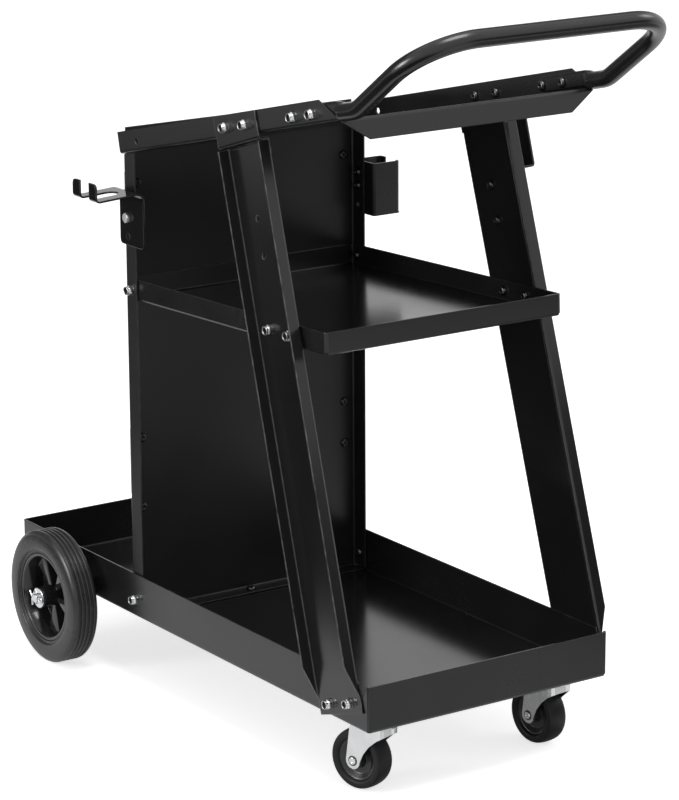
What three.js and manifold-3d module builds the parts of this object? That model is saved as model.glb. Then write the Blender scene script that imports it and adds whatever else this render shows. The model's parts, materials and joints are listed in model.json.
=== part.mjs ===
// Welding cart: folded-sheet trays between a back panel and two raked channel legs, with a bent
// tube handle, two spoked wheels on a rear axle and two swivel casters under the front.
// Millimetres. +X is the handle end, +Y the right-hand side of a person at the handle, +Z up.
import * as THREE from "three";
import { mergeVertices } from "three/addons/utils/BufferGeometryUtils.js";
import Module from "manifold-3d";

const wasm = await Module();
wasm.setup();

const degrees = (value) => THREE.MathUtils.degToRad(value);

// Sheet metal and fits
const SHEET = 1.5; // thickness of the folded sheets
const BEND = 1.5; // inside radius of a fold
const FOLD_STEPS = 2; // flats that a fold is faceted into
const SLIGHT_FOLD = degrees(5); // a fold flatter than this keeps a plain crease
const SEAT = 0.3; // gap left between pieces that touch
const RUN = 0.4; // radial clearance of a turning fit
const BEYOND = 5; // how far a cutting shape reaches past the piece it cuts

// Bottom tray
const TRAY_LENGTH = 698;
const TRAY_WIDTH = 300;
const TRAY_HEIGHT = 49;
const CORNER_RETURN = 11; // end walls turn this far round the corners
const SLIT_WIDTH = 1.4; // open seam at the front corners
const SLIT_BOTTOM = 20; // the seam is closed below this height
const SEAM_NOTCH_WIDTH = 13; // the seam opens out at the wall's top edge
const SEAM_NOTCH_DEPTH = 14;

// Back panel
const PANEL_SET = 240; // rear face of the panel from the rear end of the tray
const PANEL_FLANGE = 22.5;
const PANEL_LIP = 20; // foot of the panel, on the tray floor
const PANEL_RISE = 28; // the panel stands this far above the top tray's rear edge
const PANEL_CLEAR = 0.9; // between a panel flange and the tray wall outside it

// Middle shelf
const SHELF_LENGTH = 378;
const SHELF_HEIGHT = 23.5;
const SHELF_LEVEL = 355; // rear edge of the shelf above the bottom tray's underside
const SHELF_TILT = degrees(2.3);
const SHELF_CLEAR = 0.5; // between the shelf and the panel flange outside it

// Top tray
const TOP_LENGTH = 428;
const TOP_WIDTH = 309;
const TOP_HEIGHT = 23.5;
const TOP_LEVEL = 513; // rear edge of the top tray above the bottom tray's underside
const TOP_TILT = degrees(13.2);
const TOP_WALL_SET = 4.5; // the side walls start this far in front of the rear wall
const TOP_NOSE = 32; // length of the sloping front ends of the side walls
const TOP_REAR_WALL = 22;
const LIP_DEPTH = 21;
const LIP_MITRE = 30; // the lip's bottom edge is this much shorter at each end
const LANYARD_HOLE = 7;
const LANYARD_SET = 42; // hole in each side wall, from the tray's rear edge

// Legs
const LEG_WIDTH = 79;
const LEG_DEPTH = 14;
const LEG_SET = 42; // leg axis at the tray's underside, from the front end of the tray
const LEG_TOP_SET = 183.4; // leg axis on the top tray's underside, from its front fold
const FOOT_START = 9; // lower end of the foot along the leg
const TAPER_START = 25; // the flanges begin here
const TAPER_END = 59; // and reach their full depth here
const JOGGLE_CLEAR = 4; // between the joggle under the tab and the top tray
const ACCESSORY_HOLE_DROP = 83.5; // upper of the two accessory holes, from the top of the leg's axis
const ACCESSORY_HOLE_PITCH = 38;
const ACCESSORY_HOLE_OFFSET = -5;

// Handle
const TUBE_DIAMETER = 18;
const TUBE_SIDES = 12;
const FLAT_THICKNESS = 4;
const FLAT_HEIGHT = 16;
const FLAT_CLEAR = 2.1; // between the flattened ends and the tray floor
const TUBE_LEVEL = 8; // tube axis above the top tray's underside, where the tube leaves the tray
const PINCH_LENGTH = 9; // from the flattened end to the full tube
const HANDLE_SET = 6; // the full tube starts this far in front of the top tray's fold
const HANDLE_LEAD = 22; // straight tube before the upward bend
const HANDLE_RISE = degrees(21.6); // upward bend, from the slope of the top tray
const HANDLE_REACH = 135; // from the upward bend to the crossbar
const CORNER_RADIUS = 61;
const ELBOW_RADIUS = 40;
const TUBE_STEP = 15; // length of a facet along the tube

// Bolts
const BOLT_DIAMETER = 6;
const BOLT_CLEAR = 0.4; // radial clearance of a bolt hole
const HEAD_DIAMETER = 12;
const HEAD_HEIGHT = 3.2;
const NUT_ACROSS = 10; // across the flats
const NUT_HEIGHT = 5;
const BOLT_END = 2.5; // thread showing past the nut
const PAIR_PITCH = 37; // two bolts side by side at a leg or a handle end
const HANDLE_PITCH = 34;
const TOP_BOLT_RISE = 10.5; // bolts through the top tray's walls, above its underside
const FOOT_BOLT_RISE = 20;
const TRAY_BOLT_RISE = 20; // panel to tray
const HOLDER_BOLT_DROP = 52; // upper bolt of the rod holder, below the top tray's rear edge
const HOLDER_BOLT_PITCH = 15;
const SPARE_HOLE_DROP = 21; // empty hole below the holder's lower bolt and the torch hook's bolt

// Torch hook
const HOOK_WIDTH = 48;
const HOOK_OVERHANG = 5; // the hook stands out behind the panel
const HOOK_DROP = 35; // top of the hook's plate below the top tray's rear edge
const HOOK_PLATE = 62;
const HOOK_REACH = 57;
const HOOK_SLOT = 19;
const HOOK_SLOT_LENGTH = 38;
const HOOK_PRONG = 15;
const HOOK_DROOP = 3.5; // the arm slopes down this much to the prongs
const HOOK_CORNER = 6;
const HOOK_BEND = 7; // inside radius where the arm leaves the plate
const PRONG_BEND = 3; // and at the prongs
const HOOK_SHEET = 2;

// Rod holder
const HOLDER_DROP = 39; // rim of the holder below the top tray's rear edge
const HOLDER_HEIGHT = 59;
const HOLDER_SET = 3; // rear wall of the holder from the panel's rear face
const HOLDER_DEPTH = 36.5; // along X
const HOLDER_WIDTH = 35; // along Y
const HOLDER_RETURN = 6; // turned edge beside the slot, at the front
const HOLDER_REAR_RETURN = 10;

// Cable hook
const STRAP_WIDTH = 19;
const STRAP_SHEET = 2;
const STRAP_FOOT = 12; // strap below the lower bolt
const STRAP_LEDGE_RISE = 14; // ledge above the upper bolt
const STRAP_REACH = 50;
const STRAP_LIP = 58;

// Cylinder cradles on the rear face of the panel
const CYLINDER_DIAMETER = 200;
const CRADLE_WIDTH = 180;
const CRADLE_TIP = 14; // width of each horn's blunt end
const CRADLE_BRIDGE = 12; // plate left between the panel and the cylinder
const CRADLE_SHEET = 3;
const CRADLE_FLANGE = 24;
const CRADLE_EAR = 12; // flange past the bolt
const CRADLE_BOLT_INSET = 15; // bolt from the panel's edge
const UPPER_CRADLE_DROP = 33; // below the top tray's rear edge
const LOWER_CRADLE_RISE = 173; // above the tray's underside
const LOWER_CRADLE_FLANGE = 72;

// Rear axle and wheels
const WHEEL_DIAMETER = 150;
const TYRE_WIDTH = 32;
const WHEEL_SIDES = 28;
const RIM_DIAMETER = 100;
const RIM_WALL = 4;
const RIM_WIDTH = 26;
const WEB_THICKNESS = 8;
const POCKET_FLOOR = 2; // web left behind the pockets between the spokes
const SPOKES = 5;
const SPOKE_ROOT = 8; // width of a spoke at the hub
const SPOKE_TIP = 17; // and at the rim
const HUB_DIAMETER = 24;
const HUB_LENGTH = 36;
const TREAD_GROOVES = 4;
const GROOVE_PITCH = 5;
const GROOVE_WIDTH = 2.4;
const GROOVE_DEPTH = 1.8;
const AXLE_DIAMETER = 10;
const AXLE_SET = 118; // axle from the rear end of the tray
const WHEEL_GAP = 12; // between the tray wall and the tyre
const WASHER_DIAMETER = 23;
const WASHER_THICKNESS = 2;
const PIN_WIRE = 2.4;
const PIN_SET = 2.6; // split pin from the washer
const PIN_TIPS = [
  [-13, 6],
  [-8, -9.5],
]; // ends of the spread legs, along X and Z from the axle
const PIN_EYE = 6;
const AXLE_TAIL = 2.2; // axle past the split pin
const SADDLE_WIDTH = 20;
const SADDLE_SHEET = 2;
const SADDLE_EAR = 16;
const SPACER_WALL = 2.5;

// Casters
const CASTER_SET = 34; // swivel axis from the front end of the tray
const CASTER_TRACK = 220; // between the two swivel axes
const LEFT_CASTER_TURN = degrees(17); // how the casters happen to stand
const RIGHT_CASTER_TURN = degrees(5);
const CASTER_TRAIL = 26;
const CASTER_DIAMETER = 64;
const CASTER_WIDTH = 23;
const CASTER_HUB = 26;
const CASTER_AXLE = 8;
const PLATE_LENGTH = 48;
const PLATE_WIDTH = 52;
const PLATE_SHEET = 2.5;
const PLATE_CORNER = 5;
const RACE_DIAMETER = 38;
const RACE_HEIGHT = 5;
const KINGPIN_DIAMETER = 10;
const KINGPIN_HEAD = 18;
const KINGPIN_HEAD_HEIGHT = 2.5;
const FORK_SHEET = 2;
const FORK_TAIL = 3.5; // hood behind the wheel's axle
const FORK_BOSS = 8.8; // radius of the fork's end round the axle
const FORK_SWEEP = [15, 20]; // pull of the fork's hollow front edge, from the axle
const FORK_NOSE_DEPTH = 6; // skirt of the round hood at its nose
const RIVET_HEAD = 13;
const RIVET_HEIGHT = 1.6;

// Levels and half widths that follow from the sizes above
const AXLE_HEIGHT = WHEEL_DIAMETER / 2;
const TRAY_BASE = AXLE_HEIGHT + AXLE_DIAMETER / 2 + SEAT;
const TRAY_HALF = TRAY_WIDTH / 2;
const PANEL_HALF = TRAY_HALF - SHEET - PANEL_CLEAR;
const SHELF_HALF = PANEL_HALF - SHEET - SHELF_CLEAR;
const TOP_HALF = TOP_WIDTH / 2;
const PANEL_FRONT = PANEL_SET + SHEET;
const FLANGE_MIDDLE = PANEL_SET + PANEL_FLANGE / 2;
const PANEL_FOOT = TRAY_BASE + SHEET + SEAT;
const PANEL_TOP = TRAY_BASE + TOP_LEVEL + PANEL_RISE;
const FOLD_ROOM = BEND + SHEET; // a fold's outer radius, kept clear by the walls beside it
const WHEEL_MIDDLE = TRAY_HALF + WHEEL_GAP + TYRE_WIDTH / 2;

// A leg's axis runs from its foot at the bottom tray up to a point under the top tray
const TOP_START = new THREE.Vector2(PANEL_FRONT + SEAT, TRAY_BASE + TOP_LEVEL);
const LEG_FOOT = new THREE.Vector2(TRAY_LENGTH - LEG_SET, TRAY_BASE);
const LEG_HEAD = new THREE.Vector2(TOP_LENGTH - LEG_TOP_SET, 0)
  .rotateAround(new THREE.Vector2(), TOP_TILT)
  .add(TOP_START);
const LEG_RAKE = Math.atan2(LEG_FOOT.x - LEG_HEAD.x, LEG_HEAD.y - LEG_FOOT.y);
const LEG_RISE = LEG_FOOT.distanceTo(LEG_HEAD);

const X = new THREE.Vector3(1, 0, 0);
const Y = new THREE.Vector3(0, 1, 0);
const Z = new THREE.Vector3(0, 0, 1);
const LEFT = -1;
const RIGHT = 1;
const SIDES = { left: LEFT, right: RIGHT };

const finish = (color, roughness, metalness) => () =>
  new THREE.MeshStandardMaterial({ color, roughness, metalness });
const blackCoat = finish(0x17181a, 0.45, 0.1);
const zinc = finish(0xc6c9cc, 0.35, 1);
const rubber = finish(0x1c1c1d, 0.8, 0);
const plastic = finish(0x202123, 0.5, 0);

// The frames that pieces are placed in
const cart = new THREE.Group();
const topFrame = new THREE.Group();
topFrame.position.set(TOP_START.x, 0, TOP_START.y);
topFrame.rotation.y = -TOP_TILT;
const shelfFrame = new THREE.Group();
const shelfStart = PANEL_FRONT + SEAT + SHELF_HEIGHT * Math.sin(SHELF_TILT); // its rear wall leans back
shelfFrame.position.set(shelfStart, 0, TRAY_BASE + SHELF_LEVEL);
shelfFrame.rotation.y = -SHELF_TILT;
const leftLegFrame = new THREE.Group();
leftLegFrame.position.set(LEG_FOOT.x, 0, LEG_FOOT.y);
leftLegFrame.rotation.y = -LEG_RAKE;
const mirrorSide = new THREE.Group();
mirrorSide.scale.y = -1;
const rightLegFrame = leftLegFrame.clone();
mirrorSide.add(rightLegFrame);
cart.add(topFrame, shelfFrame, leftLegFrame, mirrorSide);
cart.updateMatrixWorld(true);

function place(name, geometry, material, frame = cart) {
  const mesh = new THREE.Mesh(geometry, material());
  mesh.name = name;
  frame.add(mesh);
  return mesh;
}

// Booleans on closed geometries
function toSolid(geometry) {
  const bare = new THREE.BufferGeometry().setAttribute("position", geometry.getAttribute("position"));
  bare.setIndex(geometry.index);
  const merged = mergeVertices(bare, 1e-3);
  const corners = merged.index.array;
  const kept = [];
  for (let i = 0; i < corners.length; i += 3) {
    const [a, b, c] = corners.slice(i, i + 3);
    if (a !== b && b !== c && c !== a) kept.push(a, b, c);
  }
  const vertProperties = merged.getAttribute("position").array;
  return new wasm.Manifold(new wasm.Mesh({ numProp: 3, vertProperties, triVerts: new Uint32Array(kept) }));
}

function toGeometry(body) {
  const mesh = body.getMesh();
  const geometry = new THREE.BufferGeometry();
  geometry.setAttribute("position", new THREE.BufferAttribute(mesh.vertProperties, 3));
  geometry.setIndex(new THREE.BufferAttribute(mesh.triVerts, 1));
  return geometry;
}

const join = (...pieces) => toGeometry(pieces.map(toSolid).reduce((sum, body) => sum.add(body)));
const cut = (piece, ...tools) =>
  toGeometry(tools.map(toSolid).reduce((rest, body) => rest.subtract(body), toSolid(piece)));
const common = (piece, tool) => toGeometry(toSolid(piece).intersect(toSolid(tool)));

// Extrusions of an outline along an axis. The outline's own axes are the other two, in order.
const extrude = (shape, depth, curveSegments) =>
  new THREE.ExtrudeGeometry(shape, { depth, bevelEnabled: false, curveSegments });
const alongX = (shape, start, length, segments = 6) =>
  extrude(shape, length, segments)
    .applyMatrix4(new THREE.Matrix4().makeBasis(Y, Z, X))
    .translate(start, 0, 0);
const alongY = (shape, start, length, segments = 6) =>
  extrude(shape, length, segments)
    .applyMatrix4(new THREE.Matrix4().makeBasis(X, Z, Y.clone().negate()))
    .translate(0, start + length, 0);
const alongZ = (shape, start, length, segments = 6) =>
  extrude(shape, length, segments).translate(0, 0, start);
const outline = (...points) => new THREE.Shape(points.map(([x, y]) => new THREE.Vector2(x, y)));

function box(from, to) {
  const size = to.map((value, axis) => value - from[axis]);
  const middle = to.map((value, axis) => (value + from[axis]) / 2);
  return new THREE.BoxGeometry(...size).translate(...middle);
}

function rodAlong(axis, radius, length, sides = 8) {
  const turn = new THREE.Quaternion().setFromUnitVectors(Y, axis);
  return new THREE.CylinderGeometry(radius, radius, length, sides).applyQuaternion(turn);
}

// Outline of a folded sheet seen on edge. The points run along one face of the sheet, and its
// thickness lies to their left. A corner may have a bend radius of its own.
function foldedStrip(corners, thickness = SHEET, bends = []) {
  const points = corners.map(([x, y]) => new THREE.Vector2(x, y));
  const leftOf = (d) => new THREE.Vector2(-d.y, d.x);
  const heading = (a, b) => b.clone().sub(a).normalize();
  const face = [];
  const back = [];
  points.forEach((point, i) => {
    const before = points[i - 1];
    const after = points[i + 1];
    const arriving = before ? heading(before, point) : heading(point, after);
    const leaving = after ? heading(point, after) : arriving;
    const turn = Math.atan2(arriving.cross(leaving), arriving.dot(leaving));
    if (Math.abs(turn) < SLIGHT_FOLD) {
      const across = leftOf(arriving).add(leftOf(leaving)).setLength(thickness / Math.cos(turn / 2));
      face.push(point);
      back.push(point.clone().add(across));
      return;
    }
    const side = Math.sign(turn);
    const bend = bends[i] ?? BEND;
    const steps = bend > BEND ? 2 * FOLD_STEPS : FOLD_STEPS;
    const faceRadius = side > 0 ? bend + thickness : bend;
    const backRadius = side > 0 ? bend : bend + thickness;
    const start = point.clone().addScaledVector(arriving, -faceRadius * Math.tan(Math.abs(turn) / 2));
    const centre = start.clone().addScaledVector(leftOf(arriving), side * faceRadius);
    for (let step = 0; step <= steps; step++) {
      const spoke = leftOf(arriving)
        .multiplyScalar(-side)
        .rotateAround(new THREE.Vector2(), (turn * step) / steps);
      face.push(centre.clone().addScaledVector(spoke, faceRadius));
      back.push(centre.clone().addScaledVector(spoke, backRadius));
    }
  });
  return new THREE.Shape([...face, ...back.reverse()]);
}

// A tube along a line of points whose corners are bent to the given radii
function bentPath(points, radii) {
  const path = new THREE.CurvePath();
  let from = points[0];
  points.slice(1, -1).forEach((corner, i) => {
    const arriving = corner.clone().sub(points[i]).normalize();
    const leaving = points[i + 2].clone().sub(corner).normalize();
    const turn = arriving.angleTo(leaving);
    const reach = radii[i] * Math.tan(turn / 2);
    const handle = (4 / 3) * Math.tan(turn / 4) * radii[i];
    const start = corner.clone().addScaledVector(arriving, -reach);
    const end = corner.clone().addScaledVector(leaving, reach);
    path.add(new THREE.LineCurve3(from, start));
    const pull = start.clone().addScaledVector(arriving, handle);
    const push = end.clone().addScaledVector(leaving, -handle);
    path.add(new THREE.CubicBezierCurve3(start, pull, push, end));
    from = end;
  });
  path.add(new THREE.LineCurve3(from, points[points.length - 1]));
  return path;
}

function tube(path, radius, sides, step) {
  const section = new THREE.Shape();
  section.absarc(0, 0, radius, 0, Math.PI * 2);
  const steps = Math.ceil(path.getLength() / step);
  const geometry = new THREE.ExtrudeGeometry(section, {
    steps,
    extrudePath: path,
    curveSegments: sides / 2,
    bevelEnabled: false,
  });
  return geometry;
}

// A solid through rings of equal point counts, closed by flat ends
function loft(rings) {
  const count = rings[0].length;
  const positions = rings.flat().flatMap((point) => point.toArray());
  const index = [];
  for (let ring = 0; ring + 1 < rings.length; ring++) {
    for (let i = 0; i < count; i++) {
      const a = ring * count + i;
      const b = ring * count + ((i + 1) % count);
      index.push(a, b, b + count, a, b + count, a + count);
    }
  }
  const last = (rings.length - 1) * count;
  for (let i = 1; i + 1 < count; i++) {
    index.push(0, i + 1, i, last, last + i, last + i + 1);
  }
  const geometry = new THREE.BufferGeometry();
  geometry.setAttribute("position", new THREE.Float32BufferAttribute(positions, 3));
  return geometry.setIndex(index);
}

// A profile of radius and height turned round the Y axis
const revolve = (profile, sides) =>
  new THREE.LatheGeometry(
    profile.map(([radius, height]) => new THREE.Vector2(radius, height)),
    sides,
  );
const mirrored = (profile) => [
  ...profile,
  ...profile.map(([radius, height]) => [radius, -height]).reverse(),
];

// Bolts. Each starts on the inner face of what it holds, points outward, and its nut is outside.
const bolts = [];

function addBolt(group, name, at, out, grip) {
  const bolt = { group, name, at, out, grip };
  bolts.push(bolt);
  return bolt;
}

function boltPair(group, side, frame, middle, pitch, grip) {
  [1, 2].forEach((number) => {
    const step = (number - 1.5) * pitch;
    const at = frame.localToWorld(new THREE.Vector3(middle[0] + step, middle[1], middle[2]));
    addBolt(group, `${side}_${group}_bolt_${number}`, at, Y.clone().multiplyScalar(SIDES[side]), grip);
  });
}

// Clearance holes for the bolts of the named groups, as tools in the frame of the piece
function boltHoles(frame, ...groups) {
  const toFrame = frame.matrixWorld.clone().invert();
  return bolts
    .filter((bolt) => groups.includes(bolt.group))
    .map(({ at, out, grip }) => {
      const middle = at.clone().addScaledVector(out, grip / 2).applyMatrix4(toFrame);
      const axis = out.clone().transformDirection(toFrame);
      const hole = rodAlong(axis, BOLT_DIAMETER / 2 + BOLT_CLEAR, grip + 2 * BEYOND);
      return hole.translate(...middle.toArray());
    });
}

function boltGeometry(grip) {
  const radius = BOLT_DIAMETER / 2;
  const end = grip + SEAT + NUT_HEIGHT + BOLT_END;
  const head = revolve(
    [
      [0, -SEAT - HEAD_HEIGHT],
      [HEAD_DIAMETER * 0.3, -SEAT - HEAD_HEIGHT],
      [HEAD_DIAMETER / 2, -SEAT],
      [0, -SEAT],
    ],
    8,
  );
  const shank = new THREE.CylinderGeometry(radius, radius, end + 2 * SEAT, 6);
  shank.translate(0, end / 2 - SEAT, 0);
  const nutRadius = NUT_ACROSS / 2 / Math.cos(Math.PI / 6);
  const nut = new THREE.CylinderGeometry(nutRadius, nutRadius, NUT_HEIGHT, 6);
  return join(head, shank, nut.translate(0, grip + SEAT + NUT_HEIGHT / 2, 0));
}

const webAtFoot = TRAY_HALF + SEAT; // inner face of a leg on the tray wall
const wallTopAlongLeg = TRAY_HEIGHT / Math.cos(LEG_RAKE);
const shelfAlongLeg = (SHELF_LEVEL + SHELF_HEIGHT / 2) / Math.cos(LEG_RAKE);
const shelfContact = SHELF_HEIGHT / 2 + (LEG_WIDTH / 2) * Math.tan(LEG_RAKE - SHELF_TILT);
const shelfTopAlongLeg = shelfAlongLeg + shelfContact; // where the leaning web is nearest the shelf
const LEG_LEAN = (SHELF_HALF + SEAT - webAtFoot) / (shelfTopAlongLeg - wallTopAlongLeg);
const webAt = (rise) => webAtFoot + LEG_LEAN * Math.max(0, rise - wallTopAlongLeg);

const joggleRise = LEG_RISE - (LEG_WIDTH / 2) * Math.abs(Math.tan(LEG_RAKE - TOP_TILT)) - JOGGLE_CLEAR;
const legOnTop = TOP_LENGTH - LEG_TOP_SET;
const legOnShelf = shelfFrame.worldToLocal(
  leftLegFrame.localToWorld(new THREE.Vector3(0, 0, shelfAlongLeg)),
);
const handleBoltMiddle = TOP_LENGTH - TOP_NOSE - HANDLE_PITCH / 2 - HEAD_DIAMETER;
const shelfMiddle = SHELF_HEIGHT / 2;

for (const [side, sign] of Object.entries(SIDES)) {
  const outward = Y.clone().multiplyScalar(sign);
  const twoSheets = 2 * SHEET + SEAT;
  const topInside = sign * (TOP_HALF - SHEET);
  boltPair("leg_tab", side, topFrame, [legOnTop, topInside, TOP_BOLT_RISE], PAIR_PITCH, twoSheets);
  const handleInside = topInside - sign * (SEAT + FLAT_THICKNESS);
  const handleGrip = FLAT_THICKNESS + SEAT + SHEET;
  const handleBolts = [handleBoltMiddle, handleInside, TOP_BOLT_RISE];
  boltPair("handle", side, topFrame, handleBolts, HANDLE_PITCH, handleGrip);
  const shelfInside = sign * (SHELF_HALF - SHEET);
  const shelfGrip = webAt(shelfAlongLeg) + SHEET - Math.abs(shelfInside);
  boltPair("shelf_leg", side, shelfFrame, [legOnShelf.x, shelfInside, shelfMiddle], PAIR_PITCH, shelfGrip);
  const footFrame = leftLegFrame;
  const footInside = sign * (TRAY_HALF - SHEET);
  boltPair("leg_foot", side, footFrame, [0, footInside, FOOT_BOLT_RISE], PAIR_PITCH, twoSheets);
  const shelfRear = shelfFrame.localToWorld(new THREE.Vector3(0, shelfInside, shelfMiddle));
  shelfRear.x = FLANGE_MIDDLE;
  addBolt("shelf_rear", `${side}_shelf_rear_bolt`, shelfRear, outward, 2 * SHEET + SHELF_CLEAR);
  const flangeInside = sign * (PANEL_HALF - SHEET);
  const trayPoint = new THREE.Vector3(FLANGE_MIDDLE, flangeInside, TRAY_BASE + TRAY_BOLT_RISE);
  addBolt("panel_tray", `${side}_panel_tray_bolt`, trayPoint, outward, 2 * SHEET + PANEL_CLEAR);
}

const flangePoint = (side, rise) =>
  new THREE.Vector3(FLANGE_MIDDLE, side * (PANEL_HALF - SHEET), TRAY_BASE + rise);
const holderBoltRise = TOP_LEVEL - HOLDER_BOLT_DROP;
const holderBoltRises = [holderBoltRise, holderBoltRise - HOLDER_BOLT_PITCH];
const hookBoltRise = holderBoltRises[1];
const spareRise = hookBoltRise - SPARE_HOLE_DROP;
holderBoltRises.forEach((rise, i) => {
  addBolt("rod_holder", `rod_holder_bolt_${i + 1}`, flangePoint(RIGHT, rise), Y.clone(), 2 * SHEET + SEAT);
});
addBolt(
  "torch_hook",
  "torch_hook_bolt",
  flangePoint(LEFT, hookBoltRise),
  Y.clone().negate(),
  SHEET + SEAT + HOOK_SHEET,
);
const accessoryRise = LEG_RISE - ACCESSORY_HOLE_DROP;
const accessoryRises = [accessoryRise, accessoryRise - ACCESSORY_HOLE_PITCH];
accessoryRises.forEach((rise, i) => {
  const at = new THREE.Vector3(ACCESSORY_HOLE_OFFSET, -webAt(rise), rise);
  leftLegFrame.localToWorld(at);
  at.y = -at.y;
  addBolt("cable_hook", `cable_hook_bolt_${i + 1}`, at, Y.clone(), SHEET + SEAT + STRAP_SHEET);
});
addBolt(
  "panel_foot",
  "panel_foot_bolt",
  new THREE.Vector3(PANEL_SET + PANEL_LIP / 2, 0, PANEL_FOOT + SHEET),
  Z.clone().negate(),
  2 * SHEET + SEAT,
);
bolts.forEach((bolt) => {
  const mesh = place(bolt.name, boltGeometry(bolt.grip), zinc);
  mesh.position.copy(bolt.at);
  mesh.quaternion.setFromUnitVectors(Y, bolt.out);
});

// A tray folded up on four sides, from its rear underside edge
function foldedTray(length, half, height) {
  const room = FOLD_ROOM;
  const sides = foldedStrip([
    [-half, height],
    [-half, 0],
    [half, 0],
    [half, height],
  ]);
  const ends = foldedStrip([
    [0, height],
    [0, 0],
    [length, 0],
    [length, height],
  ]);
  const frontCorner = foldedStrip([
    [length - CORNER_RETURN, -half],
    [length, -half],
    [length, half],
    [length - CORNER_RETURN, half],
  ]);
  const rearCorner = foldedStrip([
    [CORNER_RETURN, half],
    [0, half],
    [0, -half],
    [CORNER_RETURN, -half],
  ]);
  return join(
    alongX(sides, room, length - 2 * room),
    alongY(ends, room - half, 2 * (half - room)),
    alongZ(frontCorner, room, height - room),
    alongZ(rearCorner, room, height - room),
  );
}

function bottomTray() {
  const seam = TRAY_LENGTH - CORNER_RETURN;
  const wall = SLIT_WIDTH / 2;
  const notch = SEAM_NOTCH_WIDTH / 2;
  const top = TRAY_HEIGHT + BEYOND;
  const slit = outline(
    [seam - wall, SLIT_BOTTOM],
    [seam + wall, SLIT_BOTTOM],
    [seam + wall, TRAY_HEIGHT - SEAM_NOTCH_DEPTH],
    [seam + notch, TRAY_HEIGHT],
    [seam + notch, top],
    [seam - notch, top],
    [seam - notch, TRAY_HEIGHT],
    [seam - wall, TRAY_HEIGHT - SEAM_NOTCH_DEPTH],
  );
  const slits = [-TRAY_HALF, TRAY_HALF].map((y) => alongY(slit, y - BEYOND, 2 * BEYOND));
  const tray = cut(foldedTray(TRAY_LENGTH, TRAY_HALF, TRAY_HEIGHT), ...slits).translate(0, 0, TRAY_BASE);
  place("bottom_tray", cut(tray, ...boltHoles(cart, "leg_foot", "panel_tray", "panel_foot")), blackCoat);
}

function middleShelf() {
  const tray = foldedTray(SHELF_LENGTH, SHELF_HALF, SHELF_HEIGHT);
  const holes = boltHoles(shelfFrame, "shelf_leg", "shelf_rear");
  place("middle_shelf", cut(tray, ...holes), blackCoat, shelfFrame);
}

function backPanel() {
  const plan = foldedStrip([
    [PANEL_SET + PANEL_FLANGE, PANEL_HALF],
    [PANEL_SET, PANEL_HALF],
    [PANEL_SET, -PANEL_HALF],
    [PANEL_SET + PANEL_FLANGE, -PANEL_HALF],
  ]);
  const foot = foldedStrip([
    [PANEL_SET, PANEL_FOOT + TRAY_HEIGHT],
    [PANEL_SET, PANEL_FOOT],
    [PANEL_SET + PANEL_LIP, PANEL_FOOT],
  ]);
  const lipHalf = PANEL_HALF - FOLD_ROOM;
  const panel = join(
    alongZ(plan, PANEL_FOOT + FOLD_ROOM, PANEL_TOP - PANEL_FOOT - FOLD_ROOM),
    alongY(foot, -lipHalf, 2 * lipHalf),
  );
  // The flanges stop under the sloping top tray, and the sheet between them goes on up
  const under = outline(
    [-FOLD_ROOM, -SEAT],
    [PANEL_FLANGE + BEYOND, -SEAT],
    [PANEL_FLANGE + BEYOND, TOP_LENGTH],
    [-FOLD_ROOM, TOP_LENGTH],
  );
  const flangeCuts = [-PANEL_HALF - BEYOND, PANEL_HALF - FOLD_ROOM].map((start) =>
    alongY(under, start, FOLD_ROOM + BEYOND).applyMatrix4(topFrame.matrixWorld),
  );
  const spare = [LEFT, RIGHT].map((side) =>
    rodAlong(Y, BOLT_DIAMETER / 2 + BOLT_CLEAR, 2 * BEYOND).translate(
      ...flangePoint(side, spareRise).toArray(),
    ),
  );
  const holes = boltHoles(cart, "shelf_rear", "panel_tray", "rod_holder", "torch_hook", "panel_foot");
  place("back_panel", cut(panel, ...flangeCuts, ...spare, ...holes), blackCoat);
}

function topTray() {
  const rise = [Math.sin(TOP_TILT) * TOP_REAR_WALL, Math.cos(TOP_TILT) * TOP_REAR_WALL];
  const floor = foldedStrip([rise, [0, 0], [TOP_LENGTH, 0], [TOP_LENGTH, -LIP_DEPTH]]);
  const sides = foldedStrip([
    [-TOP_HALF, TOP_HEIGHT],
    [-TOP_HALF, 0],
    [TOP_HALF, 0],
    [TOP_HALF, TOP_HEIGHT],
  ]);
  const inner = TOP_HALF - FOLD_ROOM;
  const tray = join(
    alongY(floor, -inner, 2 * inner),
    alongX(sides, TOP_WALL_SET, TOP_LENGTH - FOLD_ROOM - TOP_WALL_SET),
  );
  const nose = outline(
    [TOP_LENGTH - FOLD_ROOM, FOLD_ROOM],
    [TOP_LENGTH + BEYOND, FOLD_ROOM],
    [TOP_LENGTH + BEYOND, TOP_HEIGHT + BEYOND],
    [TOP_LENGTH - TOP_NOSE, TOP_HEIGHT + BEYOND],
    [TOP_LENGTH - TOP_NOSE, TOP_HEIGHT],
  );
  const low = -LIP_DEPTH - BEYOND;
  const slope = LIP_MITRE / LIP_DEPTH;
  const mitre = (sign) =>
    alongX(
      outline(
        [sign * inner, -BEND],
        [sign * (inner + slope * low), low],
        [sign * (TOP_HALF + BEYOND), low],
        [sign * (TOP_HALF + BEYOND), -BEND],
      ),
      TOP_LENGTH - BEYOND,
      2 * BEYOND,
    );
  const lanyard = rodAlong(Y, LANYARD_HOLE / 2, TOP_WIDTH + BEYOND, 12);
  const holes = boltHoles(topFrame, "leg_tab", "handle");
  const cutTray = cut(
    tray,
    alongY(nose, -TOP_HALF - BEYOND, TOP_WIDTH + 2 * BEYOND),
    mitre(LEFT),
    mitre(RIGHT),
    lanyard.translate(LANYARD_SET, 0, TOP_BOLT_RISE),
    ...holes,
  );
  place("top_tray", cutTray, blackCoat, topFrame);
}

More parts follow.
